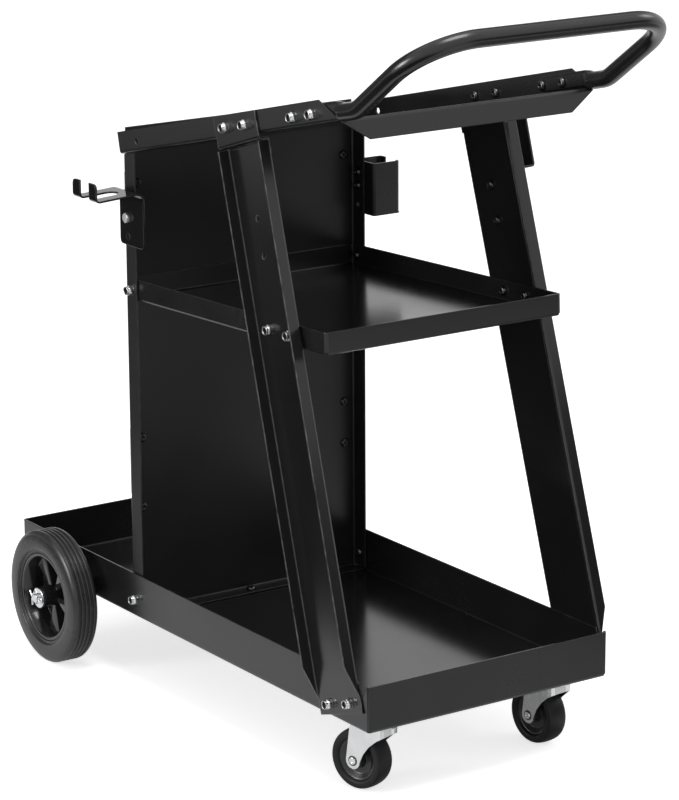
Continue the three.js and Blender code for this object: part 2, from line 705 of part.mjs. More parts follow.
// One leg, made on the left and mirrored for the right
function legs() {
  const half = LEG_WIDTH / 2;
  const channel = foldedStrip([
    [half, -LEG_DEPTH],
    [half, 0],
    [-half, 0],
    [-half, -LEG_DEPTH],
  ]);
  const channelTop = joggleRise - FOLD_ROOM;
  const foot = alongZ(channel, FOOT_START, wallTopAlongLeg - FOOT_START).translate(0, -webAtFoot, 0);
  const lean = new THREE.Matrix4().makeShear(0, 0, 0, 0, 0, -LEG_LEAN);
  const shaft = alongZ(channel, 0, channelTop - wallTopAlongLeg)
    .applyMatrix4(lean)
    .translate(0, -webAtFoot, wallTopAlongLeg);
  const tabInside = TOP_HALF + SEAT;
  const tabTop = joggleRise + 2 * (JOGGLE_CLEAR + TOP_HEIGHT);
  const splice = channelTop - LEG_DEPTH;
  const joggle = foldedStrip([
    [-webAt(splice), splice],
    [-webAt(joggleRise), joggleRise],
    [-tabInside, joggleRise],
    [-tabInside, tabTop],
  ]);
  const outside = -webAtFoot - SHEET;
  const edge = -webAtFoot - LEG_DEPTH - BEYOND;
  const taperSlope = (TAPER_END - TAPER_START) / (LEG_DEPTH - SHEET);
  const taper = outline(
    [outside, FOOT_START - BEYOND],
    [outside, TAPER_START],
    [edge, TAPER_START + taperSlope * (outside - edge)],
    [edge, FOOT_START - BEYOND],
  );
  const toLeg = leftLegFrame.matrixWorld.clone().invert().multiply(topFrame.matrixWorld);
  const above = box(
    [legOnTop - LEG_WIDTH, -TOP_WIDTH, TOP_HEIGHT],
    [legOnTop + LEG_WIDTH, 0, 3 * TOP_HEIGHT],
  ).applyMatrix4(toLeg);
  const spare = accessoryRises.map((rise) =>
    rodAlong(Y, BOLT_DIAMETER / 2 + BOLT_CLEAR, 4 * BEYOND).translate(
      ACCESSORY_HOLE_OFFSET,
      -webAt(rise),
      rise,
    ),
  );
  const leg = cut(
    join(foot, shaft, alongX(joggle, -half, LEG_WIDTH)),
    alongX(taper, -half - BEYOND, LEG_WIDTH + 2 * BEYOND),
    above,
    ...spare,
    ...boltHoles(leftLegFrame, "leg_foot", "shelf_leg", "leg_tab"),
  );
  place("left_leg", leg, blackCoat, leftLegFrame);
  place("right_leg", leg.clone(), blackCoat, rightLegFrame);
}

// The tube is pinched flat at both ends, which bolt inside the top tray's walls
function handle() {
  const radius = TUBE_DIAMETER / 2;
  const armY = TOP_HALF - SHEET - SEAT - FLAT_THICKNESS / 2;
  const flatLevel = SHEET + FLAT_CLEAR + FLAT_HEIGHT / 2;
  const tubeStart = TOP_LENGTH + HANDLE_SET;
  const elbow = [tubeStart + HANDLE_LEAD, TUBE_LEVEL];
  const bar = [
    elbow[0] + HANDLE_REACH * Math.cos(HANDLE_RISE),
    elbow[1] + HANDLE_REACH * Math.sin(HANDLE_RISE),
  ];
  const points = [
    new THREE.Vector3(tubeStart, -armY, TUBE_LEVEL),
    new THREE.Vector3(elbow[0], -armY, elbow[1]),
    new THREE.Vector3(bar[0], -armY, bar[1]),
    new THREE.Vector3(bar[0], armY, bar[1]),
    new THREE.Vector3(elbow[0], armY, elbow[1]),
    new THREE.Vector3(tubeStart, armY, TUBE_LEVEL),
  ];
  const path = bentPath(points, [ELBOW_RADIUS, CORNER_RADIUS, CORNER_RADIUS, ELBOW_RADIUS]);
  const grip = tube(path, radius, TUBE_SIDES, TUBE_STEP);
  const flatTip = handleBoltMiddle - HANDLE_PITCH / 2;
  const plate = new THREE.Shape();
  plate.moveTo(tubeStart - PINCH_LENGTH, flatLevel + FLAT_HEIGHT / 2);
  plate.lineTo(flatTip, flatLevel + FLAT_HEIGHT / 2);
  plate.absarc(flatTip, flatLevel, FLAT_HEIGHT / 2, Math.PI / 2, (Math.PI * 3) / 2, false);
  plate.lineTo(tubeStart - PINCH_LENGTH, flatLevel - FLAT_HEIGHT / 2);
  const ring = (x, y, level, tall, thick) =>
    Array.from({ length: TUBE_SIDES }, (_, i) => {
      const angle = (Math.PI * 2 * i) / TUBE_SIDES;
      return new THREE.Vector3(x, y + thick * Math.cos(angle), level + tall * Math.sin(angle));
    });
  const ends = [-armY, armY].flatMap((y) => [
    alongY(plate, y - FLAT_THICKNESS / 2, FLAT_THICKNESS, 5),
    loft([
      ring(tubeStart - PINCH_LENGTH - SEAT, y, flatLevel, FLAT_HEIGHT / 2, FLAT_THICKNESS / 2),
      ring(tubeStart - PINCH_LENGTH / 2, y, (flatLevel + TUBE_LEVEL) / 2, radius, radius * 0.7),
      ring(tubeStart + SEAT, y, TUBE_LEVEL, radius - SEAT / 2, radius - SEAT / 2),
    ]),
  ]);
  place("handle", cut(join(grip, ...ends), ...boltHoles(topFrame, "handle")), blackCoat, topFrame);
}

function torchHook() {
  const inside = -PANEL_HALF - SEAT;
  const top = TRAY_BASE + TOP_LEVEL - HOOK_DROP;
  const tip = inside - HOOK_REACH;
  const strip = foldedStrip(
    [
      [inside, top - HOOK_PLATE],
      [inside, top],
      [tip, top - HOOK_DROOP],
      [tip, top + HOOK_PRONG],
    ],
    HOOK_SHEET,
    [BEND, HOOK_BEND, PRONG_BEND],
  );
  const rear = PANEL_SET - HOOK_OVERHANG;
  const front = rear + HOOK_WIDTH;
  const hook = alongX(strip, rear, HOOK_WIDTH);
  const middle = rear + HOOK_WIDTH / 2;
  const slotEnd = tip + HOOK_SLOT_LENGTH;
  const slot = new THREE.Shape();
  slot.moveTo(middle + HOOK_SLOT / 2, tip - 2 * BEYOND);
  slot.lineTo(middle + HOOK_SLOT / 2, slotEnd - HOOK_SLOT / 2);
  slot.absarc(middle, slotEnd - HOOK_SLOT / 2, HOOK_SLOT / 2, 0, Math.PI, false);
  slot.lineTo(middle - HOOK_SLOT / 2, tip - 2 * BEYOND);
  const corner = (x, z, sx, sz) => {
    const trim = new THREE.Shape();
    trim.moveTo(x + sx * BEYOND, z + sz * BEYOND);
    trim.lineTo(x + sx * BEYOND, z - sz * HOOK_CORNER);
    trim.lineTo(x, z - sz * HOOK_CORNER);
    trim.quadraticCurveTo(x, z, x - sx * HOOK_CORNER, z);
    trim.lineTo(x - sx * HOOK_CORNER, z + sz * BEYOND);
    return trim;
  };
  const low = top - HOOK_PLATE;
  const high = top + HOOK_PRONG;
  const trims = [
    alongY(corner(rear, low, -1, -1), inside - BEYOND, 2 * BEYOND, 4),
    alongY(corner(front, low, 1, -1), inside - BEYOND, 2 * BEYOND, 4),
    alongY(corner(rear, high, -1, 1), tip - BEYOND, 2 * BEYOND, 4),
    alongY(corner(front, high, 1, 1), tip - BEYOND, 2 * BEYOND, 4),
  ];
  const spare = rodAlong(Y, BOLT_DIAMETER / 2 + BOLT_CLEAR, 2 * BEYOND);
  const cutHook = cut(
    hook,
    alongZ(slot, top - 2 * BEYOND, HOOK_PRONG + 3 * BEYOND),
    ...trims,
    spare.translate(...flangePoint(LEFT, spareRise).toArray()),
    ...boltHoles(cart, "torch_hook"),
  );
  place("torch_hook", cutHook, blackCoat);
}

function rodHolder() {
  const near = PANEL_HALF + SEAT;
  const far = near + HOLDER_WIDTH;
  const rear = PANEL_SET + HOLDER_SET;
  const front = rear + HOLDER_DEPTH;
  const base = TRAY_BASE + TOP_LEVEL - HOLDER_DROP - HOLDER_HEIGHT;
  const plan = foldedStrip([
    [rear + HOLDER_REAR_RETURN, far],
    [rear, far],
    [rear, near],
    [front, near],
    [front, far],
    [front - HOLDER_RETURN, far],
  ]);
  const walls = alongZ(plan, base, HOLDER_HEIGHT);
  const floor = box([rear + SHEET / 2, near + SHEET / 2, base], [front - SHEET / 2, far, base + SHEET]);
  const spare = rodAlong(Y, BOLT_DIAMETER / 2 + BOLT_CLEAR, 2 * BEYOND);
  const holder = cut(
    join(walls, floor),
    spare.translate(...flangePoint(RIGHT, spareRise).toArray()),
    ...boltHoles(cart, "rod_holder"),
  );
  place("rod_holder", holder, blackCoat);
}

function cableHook() {
  const [upper, lower] = accessoryRises;
  const ledge = upper + STRAP_LEDGE_RISE;
  const foot = lower - STRAP_FOOT;
  const outer = (rise) => -webAt(rise) - SHEET - SEAT;
  const tip = outer(ledge) - STRAP_REACH;
  const strip = foldedStrip(
    [
      [outer(foot), foot],
      [outer(ledge), ledge],
      [tip, ledge],
      [tip, ledge + STRAP_LIP],
    ],
    STRAP_SHEET,
  );
  const strap = alongX(strip, ACCESSORY_HOLE_OFFSET - STRAP_WIDTH / 2, STRAP_WIDTH);
  place("cable_hook", cut(strap, ...boltHoles(rightLegFrame, "cable_hook")), blackCoat, rightLegFrame);
}

// A cradle: a plate hollowed to the cylinder, at the top of a flange against the panel
function cradle(name, rise, flangeHeight) {
  const back = PANEL_SET - SEAT;
  const level = TRAY_BASE + rise;
  const boltY = PANEL_HALF - CRADLE_BOLT_INSET;
  const flangeHalf = boltY + CRADLE_EAR;
  const half = CRADLE_WIDTH / 2;
  const radius = CYLINDER_DIAMETER / 2;
  const swing = Math.asin((half - CRADLE_TIP) / radius);
  const centre = back - CRADLE_BRIDGE - radius;
  const plate = new THREE.Shape();
  plate.moveTo(back, -half);
  plate.lineTo(back, half);
  plate.lineTo(centre + radius * Math.cos(swing), half);
  plate.absarc(centre, 0, radius, swing, -swing, true);
  plate.lineTo(centre + radius * Math.cos(swing), -half);
  const top = level + flangeHeight / 2;
  const flange = box([back - CRADLE_SHEET, -flangeHalf, level - flangeHeight / 2], [back, flangeHalf, top]);
  place(name, join(alongZ(plate, top - CRADLE_SHEET, CRADLE_SHEET, 10), flange), blackCoat);
}

function rearAxle() {
  const hubOuter = WHEEL_MIDDLE + HUB_LENGTH / 2;
  const washerInner = hubOuter + SEAT;
  const pinY = washerInner + WASHER_THICKNESS + PIN_SET;
  const end = pinY + AXLE_TAIL;
  const radius = AXLE_DIAMETER / 2;
  const pinHole = PIN_WIRE / 2 + SEAT;
  const pinHoles = [-pinY, pinY].map((y) => rodAlong(X, pinHole, 2 * AXLE_DIAMETER, 8).translate(0, y, 0));
  const axle = cut(rodAlong(Y, radius, 2 * end, 20), ...pinHoles);
  place("rear_axle", axle, zinc).position.set(AXLE_SET, 0, AXLE_HEIGHT);

  const bore = radius + RUN;
  const strapOuter = bore + SADDLE_SHEET;
  const earTop = radius; // the ears lie on the tray's underside
  const saddle = new THREE.Shape();
  saddle.moveTo(-strapOuter - SADDLE_EAR, earTop);
  saddle.lineTo(-strapOuter - SADDLE_EAR, earTop - SADDLE_SHEET);
  saddle.lineTo(-strapOuter, earTop - SADDLE_SHEET);
  saddle.absarc(0, 0, strapOuter, Math.PI, Math.PI * 2, false);
  saddle.lineTo(strapOuter, earTop - SADDLE_SHEET);
  saddle.lineTo(strapOuter + SADDLE_EAR, earTop - SADDLE_SHEET);
  saddle.lineTo(strapOuter + SADDLE_EAR, earTop);
  saddle.lineTo(bore, earTop);
  saddle.lineTo(bore, 0);
  saddle.absarc(0, 0, bore, 0, Math.PI, true);
  saddle.lineTo(-bore, earTop);

  const spacerStart = TRAY_HALF + SEAT;
  const spacerEnd = WHEEL_MIDDLE - HUB_LENGTH / 2 - SEAT;
  const sleeve = (outer, start, stop) => [
    [bore, start],
    [outer, start],
    [outer, stop],
    [bore, stop],
    [bore, start],
  ];
  for (const [side, sign] of Object.entries(SIDES)) {
    const station = new THREE.Group();
    station.position.set(AXLE_SET, 0, AXLE_HEIGHT);
    cart.add(station);
    const saddleStart = sign > 0 ? TRAY_HALF - SADDLE_WIDTH : -TRAY_HALF;
    place(`${side}_axle_saddle`, alongY(saddle, saddleStart, SADDLE_WIDTH, 8), blackCoat, station);
    const span = (a, b) => (sign > 0 ? [a, b] : [-b, -a]);
    const spacer = revolve(sleeve(bore + SPACER_WALL, ...span(spacerStart, spacerEnd)), 14);
    place(`${side}_axle_spacer`, toGeometry(toSolid(spacer)), zinc, station);
    const washerSpan = span(washerInner, washerInner + WASHER_THICKNESS);
    const washer = revolve(sleeve(WASHER_DIAMETER / 2, ...washerSpan), 18);
    place(`${side}_wheel_washer`, toGeometry(toSolid(washer)), zinc, station);
    place(`${side}_split_pin`, splitPin(), zinc, station).position.y = sign * pinY;
    const wheel = new THREE.Group();
    wheel.position.y = sign * WHEEL_MIDDLE;
    station.add(wheel);
    place(`${side}_wheel_rim`, rearRim(bore, sign), plastic, wheel);
    place(`${side}_wheel_tyre`, rearTyre(), rubber, wheel);
  }
}

// A split pin along X: an eye in front of the axle and two legs spread behind it
function splitPin() {
  const wire = PIN_WIRE / 2;
  const axle = AXLE_DIAMETER / 2;
  const split = -axle - 1.5 * PIN_WIRE; // the legs part here
  const leg = ([x, z]) => {
    const points = [
      new THREE.Vector3(axle + PIN_EYE / 2, 0, 0),
      new THREE.Vector3(split, 0, 0),
      new THREE.Vector3(x, 0, z),
    ];
    return tube(bentPath(points, [PIN_WIRE]), wire, 6, PIN_WIRE * 2);
  };
  const eye = new THREE.TorusGeometry(PIN_EYE / 2, wire * 0.9, 5, 9);
  eye.rotateX(Math.PI / 2).translate(axle + 1 + PIN_EYE / 2 + wire, 0, 0);
  return join(...PIN_TIPS.map(leg), eye);
}

// The spokes stand on a thin web, with pockets between them that open outward
function rearRim(bore, sign) {
  const outer = RIM_DIAMETER / 2;
  const barrel = outer - RIM_WALL;
  const hub = HUB_DIAMETER / 2;
  const web = WEB_THICKNESS / 2;
  const upper = [
    [outer, RIM_WIDTH / 2],
    [barrel, RIM_WIDTH / 2],
    [barrel - 1, web],
    [hub, web],
    [hub - 1, HUB_LENGTH / 2],
    [bore, HUB_LENGTH / 2],
  ];
  const profile = mirrored(upper.slice().reverse());
  const ringBody = revolve([...profile, profile[0]].reverse(), WHEEL_SIDES);
  const root = hub + 3;
  const tip = barrel - 3;
  const pitch = Math.PI / SPOKES;
  const rootHalf = pitch - Math.asin(SPOKE_ROOT / 2 / root);
  const tipHalf = pitch - Math.asin(SPOKE_TIP / 2 / tip);
  const opening = new THREE.Shape();
  opening.absarc(0, 0, tip, -tipHalf, tipHalf, false);
  opening.absarc(0, 0, root, rootHalf, -rootHalf, true);
  const pockets = [];
  for (let i = 0; i < SPOKES; i++) {
    const angle = Math.PI / 2 + 2 * pitch * i;
    pockets.push(alongY(opening, POCKET_FLOOR - web, RIM_WIDTH, 3).rotateY(-angle));
  }
  const rim = cut(ringBody, ...pockets);
  return sign > 0 ? rim : rim.rotateZ(Math.PI);
}

function rearTyre() {
  const outer = WHEEL_DIAMETER / 2;
  const half = TYRE_WIDTH / 2;
  const bore = RIM_DIAMETER / 2 + SEAT;
  const tread = [];
  for (let i = 0; i < TREAD_GROOVES / 2; i++) {
    const middle = GROOVE_PITCH * (i + 0.5);
    tread.push([outer, middle - GROOVE_WIDTH / 2]);
    tread.push([outer - GROOVE_DEPTH, middle]);
    tread.push([outer, middle + GROOVE_WIDTH / 2]);
  }
  const side = [
    ...tread,
    [outer - 1.2, half - 3],
    [outer - 5, half - 0.8],
    [outer - 12, half],
    [bore + 3, half - 1],
    [bore, half - 3],
  ];
  const profile = mirrored(side.slice().reverse());
  return toGeometry(toSolid(revolve([...profile, profile[0]].reverse(), WHEEL_SIDES)));
}

// A caster: a plate with its kingpin under the tray, and a fork that swivels on it
function caster(side, sign, turn) {
  const plateTop = TRAY_BASE - SEAT;
  const raceTop = plateTop - PLATE_SHEET;
  const forkTop = raceTop - RACE_HEIGHT - SEAT;
  const forkUnder = forkTop - FORK_SHEET;
  const mount = new THREE.Group();
  mount.position.set(TRAY_LENGTH - CASTER_SET, (sign * CASTER_TRACK) / 2, 0);
  cart.add(mount);

  const half = [PLATE_LENGTH / 2, PLATE_WIDTH / 2];
  const plate = new THREE.Shape();
  plate.moveTo(half[0], half[1] - PLATE_CORNER);
  plate.absarc(half[0] - PLATE_CORNER, half[1] - PLATE_CORNER, PLATE_CORNER, 0, Math.PI / 2);
  plate.absarc(PLATE_CORNER - half[0], half[1] - PLATE_CORNER, PLATE_CORNER, Math.PI / 2, Math.PI);
  plate.absarc(PLATE_CORNER - half[0], PLATE_CORNER - half[1], PLATE_CORNER, Math.PI, Math.PI * 1.5);
  plate.absarc(half[0] - PLATE_CORNER, PLATE_CORNER - half[1], PLATE_CORNER, Math.PI * 1.5, Math.PI * 2);
  const pin = KINGPIN_DIAMETER / 2;
  const headTop = forkUnder - SEAT;
  const kingpin = revolve(
    [
      [0, headTop - KINGPIN_HEAD_HEIGHT],
      [KINGPIN_HEAD / 2, headTop - KINGPIN_HEAD_HEIGHT],
      [KINGPIN_HEAD / 2, headTop],
      [pin, headTop],
      [pin, forkTop + SEAT],
      [RACE_DIAMETER / 2 - RACE_HEIGHT / 2, forkTop + SEAT],
      [RACE_DIAMETER / 2, raceTop],
      [0, raceTop + PLATE_SHEET / 2],
    ],
    16,
  ).rotateX(Math.PI / 2);
  const plateBody = join(alongZ(plate, raceTop, PLATE_SHEET, 2), kingpin);
  place(`${side}_caster_plate`, plateBody, zinc, mount);

  const swivel = new THREE.Group();
  swivel.rotation.z = turn;
  mount.add(swivel);
  const axleHeight = CASTER_DIAMETER / 2;
  const inner = CASTER_HUB / 2 + SEAT;
  const outer = inner + FORK_SHEET;
  const tail = -CASTER_TRAIL - FORK_TAIL;
  const cheek = new THREE.Shape();
  cheek.moveTo(tail, forkTop);
  cheek.lineTo(-CASTER_TRAIL - FORK_BOSS, axleHeight);
  cheek.absarc(-CASTER_TRAIL, axleHeight, FORK_BOSS, Math.PI, Math.PI * 2);
  const sweep = [FORK_SWEEP[0] - CASTER_TRAIL, FORK_SWEEP[1] + axleHeight];
  cheek.quadraticCurveTo(...sweep, outer, forkTop - FORK_NOSE_DEPTH);
  cheek.lineTo(outer + BEYOND, forkTop);
  const hood = (radius) => {
    const plan = new THREE.Shape();
    const rear = tail - 2 * FORK_BOSS;
    plan.moveTo(rear, -radius);
    plan.lineTo(0, -radius);
    plan.absarc(0, 0, radius, -Math.PI / 2, Math.PI / 2, false);
    plan.lineTo(rear, radius);
    return plan;
  };
  const shell = cut(alongZ(hood(outer), 0, forkTop), alongZ(hood(inner), -BEYOND, forkUnder + BEYOND));
  const rivetHole = rodAlong(Y, CASTER_AXLE / 2 + SEAT, 4 * outer, 12);
  const fork = cut(
    common(shell, alongY(cheek, -2 * outer, 4 * outer, 4)),
    rodAlong(Z, pin + RUN, RACE_DIAMETER, 16).translate(0, 0, forkTop),
    rivetHole.translate(-CASTER_TRAIL, 0, axleHeight),
  );
  place(`${side}_caster_fork`, fork, zinc, swivel);

  const rivetEnd = outer + SEAT + RIVET_HEIGHT;
  const rivet = revolve(
    [
      [0, -rivetEnd],
      [RIVET_HEAD / 2 - RIVET_HEIGHT, -rivetEnd],
      [RIVET_HEAD / 2, -outer - SEAT],
      [CASTER_AXLE / 2, -outer - SEAT],
      [CASTER_AXLE / 2, outer + SEAT],
      [RIVET_HEAD / 2, outer + SEAT],
      [RIVET_HEAD / 2 - RIVET_HEIGHT, rivetEnd],
      [0, rivetEnd],
    ],
    14,
  );
  const rivetBody = place(`${side}_caster_axle`, toGeometry(toSolid(rivet)), zinc, swivel);
  rivetBody.position.set(-CASTER_TRAIL, 0, axleHeight);
  const wheelBody = place(`${side}_caster_wheel`, casterWheel(), rubber, swivel);
  wheelBody.position.set(-CASTER_TRAIL, 0, axleHeight);
}

function casterWheel() {
  const outer = CASTER_DIAMETER / 2;
  const half = CASTER_WIDTH / 2;
  const hub = CASTER_HUB / 2;
  const upper = [
    [outer, half * 0.45],
    [outer - 1, half * 0.75],
    [outer - 4, half],
    [outer - 8, half],
    [outer - 11, half - 4],
    [CASTER_AXLE + 2, half - 4],
    [CASTER_AXLE + 1, hub],
    [CASTER_AXLE / 2 + RUN, hub],
  ];
  const profile = mirrored(upper.slice().reverse());
  return toGeometry(toSolid(revolve([...profile, profile[0]].reverse(), 18)));
}

bottomTray();
backPanel();
middleShelf();
topTray();
legs();
handle();
torchHook();
rodHolder();
cableHook();
cradle("upper_cylinder_cradle", TOP_LEVEL - UPPER_CRADLE_DROP, CRADLE_FLANGE);
cradle("lower_cylinder_cradle", LOWER_CRADLE_RISE, LOWER_CRADLE_FLANGE);
rearAxle();
caster("left", LEFT, LEFT_CASTER_TURN);
caster("right", RIGHT, RIGHT_CASTER_TURN);

// The part's origin is under the middle of its box, on the floor
const extent = new THREE.Box3().setFromObject(cart, true);
const middle = extent.getCenter(new THREE.Vector3());
cart.position.set(-middle.x, -middle.y, -extent.min.z);
const part = new THREE.Group();
part.add(cart);

export default part;
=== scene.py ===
"""A welding cart of black coated sheet: finishes, turned and bent pieces, fasteners, light and camera."""

import json
import math

import bmesh
import bpy
from mathutils import Matrix, Vector


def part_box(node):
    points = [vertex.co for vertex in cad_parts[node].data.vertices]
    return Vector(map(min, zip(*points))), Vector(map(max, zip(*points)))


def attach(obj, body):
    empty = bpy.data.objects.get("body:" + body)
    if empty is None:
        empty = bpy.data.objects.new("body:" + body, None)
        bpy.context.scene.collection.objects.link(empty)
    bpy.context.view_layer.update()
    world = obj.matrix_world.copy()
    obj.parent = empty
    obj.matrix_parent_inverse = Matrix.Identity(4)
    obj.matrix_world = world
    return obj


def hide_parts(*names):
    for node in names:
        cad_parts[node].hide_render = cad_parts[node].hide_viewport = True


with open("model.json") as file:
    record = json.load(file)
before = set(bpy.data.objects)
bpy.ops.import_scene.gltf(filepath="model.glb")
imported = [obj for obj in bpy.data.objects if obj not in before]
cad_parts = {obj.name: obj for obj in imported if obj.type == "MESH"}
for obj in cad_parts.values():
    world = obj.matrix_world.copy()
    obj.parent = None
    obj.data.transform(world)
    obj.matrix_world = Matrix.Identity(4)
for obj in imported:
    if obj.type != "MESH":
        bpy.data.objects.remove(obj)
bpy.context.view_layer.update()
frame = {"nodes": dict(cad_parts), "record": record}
nodes = frame["nodes"]

MM = 0.001
X = Vector((1, 0, 0))
Y = Vector((0, 1, 0))
Z = Vector((0, 0, 1))
SIDES = {"left": -1, "right": 1}

# Places that the pieces are set from, in metres
tray_low, tray_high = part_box("bottom_tray")
TRAY_REAR = tray_low.x
TRAY_BASE = tray_low.z
TRAY_MIDDLE = (tray_low.y + tray_high.y) / 2
PANEL_FACE = TRAY_REAR + 0.2415

# Camera, from the photograph, in radians and metres
CAMERA_TURN = math.radians(55.89)
CAMERA_HEIGHT = math.radians(15.07)
CAMERA_ROLL = math.radians(-0.32)
CAMERA_DISTANCE = 3.641
CAMERA_AIM = Vector((TRAY_REAR + 0.4283, TRAY_MIDDLE, TRAY_BASE + 0.2611))
CAMERA_LENS = 155.02
SENSOR_HEIGHT = 36

# Slope of the top tray, which the handle starts from
TOP_START = Vector((TRAY_REAR + 0.2418, TRAY_MIDDLE, TRAY_BASE + 0.513))
TOP_TILT = math.radians(13.2)

# Sheets and the gap at their seats, in millimetres as all sizes of pieces are
SHEET = 1.5
SEAT = 0.3
CRADLE_SHEET = 3
PLATE_SHEET = 2.5
SADDLE_EAR = 2

# Handle, along and above the slope of the top tray
TUBE_RADIUS = 9
ARM_OFFSET = 150.7
FLAT_HALF_THICKNESS = 2
FLAT_HALF_HEIGHT = 8
FLAT_LEVEL = 11.6
FLAT_TIP = 350
TIP_HALF_THICKNESS = 1.9
TIP_FIRST = 4
TIP_STEPS = 8
TUBE_LEVEL = 8
TUBE_START = 434
PINCH_LENGTH = 14
PINCH_STEPS = 12
PINCH_SWELL = 0.5
ELBOW_AT = 456
ELBOW_RADIUS = 40
CORNER_RADIUS = 61
BAR_AT = 581.52
BAR_LEVEL = 57.70
ROUTE_STEP = 8

# How square a swept ring is: 2 is round, and more is squarer
ROUND = 2.0
FLATTENED = 5.0

# Bolts and nuts; a bolt's length runs from the top of its head to its end, BOLT_END past its nut
BOLT_RADIUS = 3
BOLT_END = 2.5
TIP_RADIUS = 2.4
TIP_CHAMFER = 0.6
SUNK_TIP = 2.4
HEAD_RADIUS = 5.4
HEAD_HEIGHT = 3.2
CROWN_RADIUS = 2.9
CROWN_HEIGHT = 2.9
SOCKET_ACROSS = 4.0
SOCKET_RADIUS = 2.3
SOCKET_DEPTH = 1.9
LOW_HEAD_RADIUS = 4.4
LOW_HEAD_HEIGHT = 1.9
LOW_CROWN_HEIGHT = 1.5
LOW_SUNK_TIP = 1
HEX_HEAD_HEIGHT = 4
HEX_SEAT_DROP = 0.2
HEX_NUT_LOW = 0.2
HEX_NUT_HIGH = 3.2
NUT_ACROSS = 10
NUT_CORNER = 6
NUT_FACE_RADIUS = 4.8
NUT_HEIGHT = 5
NUT_CHAMFER = 0.6
COLLAR_HEIGHT = 3
COLLAR_RADIUS = 4.5
COLLAR_BORE = 3.9
INSERT_RADIUS = 3.95
WASHER_RADIUS = 5.9
WASHER_THICKNESS = 1.2
WASHER_CHAMFER = 0.2

# Bolts of the cylinder cradles, across the panel and above the floor
CRADLE_BOLTS = ((-133, 560.3), (133, 560.3), (-133, 279), (-133, 200.5), (133, 278), (133, 230))
CRADLE_FOOT = 217

# Bolts of the caster plates and axle saddles
PLATE_BOLT_ALONG = 18.5
PLATE_BOLT_ACROSS = 20
SADDLE_BOLT_INSET = 8

# Rear wheels
TYRE_RADIUS = 75
BEAD_RADIUS = 50.3
GROOVES = (2.5, 7.5)
GROOVE_DEPTH = 2
GROOVE_TOP = 1.4
GROOVE_BASE = 0.5
RIM_RADIUS = 50.0
RIM_HALF_WIDTH = 13.0
HUB_BORE = 5.5
HUB_HALF_LENGTH = 18.0

# Spokes: half width at each radius, and how far the edge is cut back at each level
SPOKES = 5
SPOKE_WIDTHS = ((11.0, 3.2), (15.0, 4.2), (39.0, 10.4), (43.0, 12.2))
SPOKE_EDGE = ((0.0, -11.5), (0.0, -0.3), (0.3, 0.3), (0.9, 0.5))

# Rear axle and its washers
AXLE_RADIUS = 5.0
AXLE_CHAMFER = 0.8
AXLE_WASHER_BORE = 5.4
AXLE_WASHER_RADIUS = 11.5
AXLE_WASHER_CUT = 0.5
AXLE_WASHER_DROP = 0.4

# Casters
ROLLER_RADIUS = 32.0
CORE_RADIUS = 22.0
CORE_BORE = 4.4
CORE_HALF_WIDTH = 13.0
FORK_HALF_WIDTH = 15.5
RIVET_RADIUS = 3.9
RIVET_END = 16.9
RING_RADIUS = 5.4

# Split pins
PIN_WIRE = 1.15
PIN_TIPS = ((-13, 6), (-8, -9.5))
PIN_LEG_OFFSET = 0.45
PIN_STRAIGHT_END = -8.6
PIN_BEND = 2.4
PIN_STEP = 1.6
EYE_AT = 10.2
EYE_RADIUS = 3.0
EYE_STEPS = 8

# Finishes of a fastener's pieces, by their place in its list of materials
NUT = 0
BOLT = 1
INSERT_AND_SHADED_TIP = 2

# Sockets of a Mix node that mixes colours
MIX_SHARE = 0
MIX_FIRST = 6
MIX_SECOND = 7
MIX_RESULT = 2


def grey(level):
    return (level, level, level, 1)


# Share of its roughness that the coat keeps on faces that dried lying flat
FLOWED_SHARE = 0.7

# Colours of the finishes
WHITE = grey(1)
COAT_DARK = (0.0082, 0.0083, 0.0087, 1)
COAT_LIGHT = (0.0112, 0.0113, 0.0117, 1)
COAT_DUST = (0.09, 0.09, 0.088, 1)
BARE_EDGE = grey(0.86)
ZINC_COLD = (0.58, 0.595, 0.62, 1)
ZINC_WARM = (0.70, 0.695, 0.68, 1)
DULL_ZINC_COLD = (0.58, 0.59, 0.61, 1)
STEEL_COLD = (0.06, 0.061, 0.063, 1)
STEEL_WARM = (0.10, 0.10, 0.098, 1)
TYRE_BLACK = (0.022, 0.022, 0.0225, 1)
ROLLER_BLACK = (0.008, 0.008, 0.0084, 1)
RUBBER_DRIFT = 1.5
RUBBER_DUST = (0.10, 0.097, 0.092, 1)
PLASTIC_DARK = (0.010, 0.010, 0.011, 1)
PLASTIC_LIGHT = (0.017, 0.017, 0.018, 1)
PLASTIC_EDGE = grey(0.05)


# Small helpers for shader nodes
def add_node(tree, kind, inputs=None, **settings):
    """A node with its settings, whose inputs are linked to a socket or set to a value."""
    made = tree.nodes.new(kind)
    for key, value in settings.items():
        setattr(made, key, value)
    for key, value in (inputs or {}).items():
        if isinstance(value, bpy.types.NodeSocket):
            tree.links.new(value, made.inputs[key])
        else:
            made.inputs[key].default_value = value
    return made


def new_group(name, inputs, outputs):
    """An empty node group; an input is a number with its first value, an output has its kind of socket."""
    tree = bpy.data.node_groups.new(name, "ShaderNodeTree")
    for label, value in inputs:
        socket = tree.interface.new_socket(label, in_out="INPUT", socket_type="NodeSocketFloat")
        socket.default_value = value
    for label, kind in outputs:
        tree.interface.new_socket(label, in_out="OUTPUT", socket_type=kind)
    return tree, tree.nodes.new("NodeGroupInput"), tree.nodes.new("NodeGroupOutput")


def object_place(tree):
    return add_node(tree, "ShaderNodeTexCoord").outputs["Object"]


def noise(tree, place, scale, detail=3.0, roughness=0.55):
    values = {"Vector": place, "Scale": scale, "Detail": detail, "Roughness": roughness}
    return add_node(tree, "ShaderNodeTexNoise", values).outputs["Fac"]


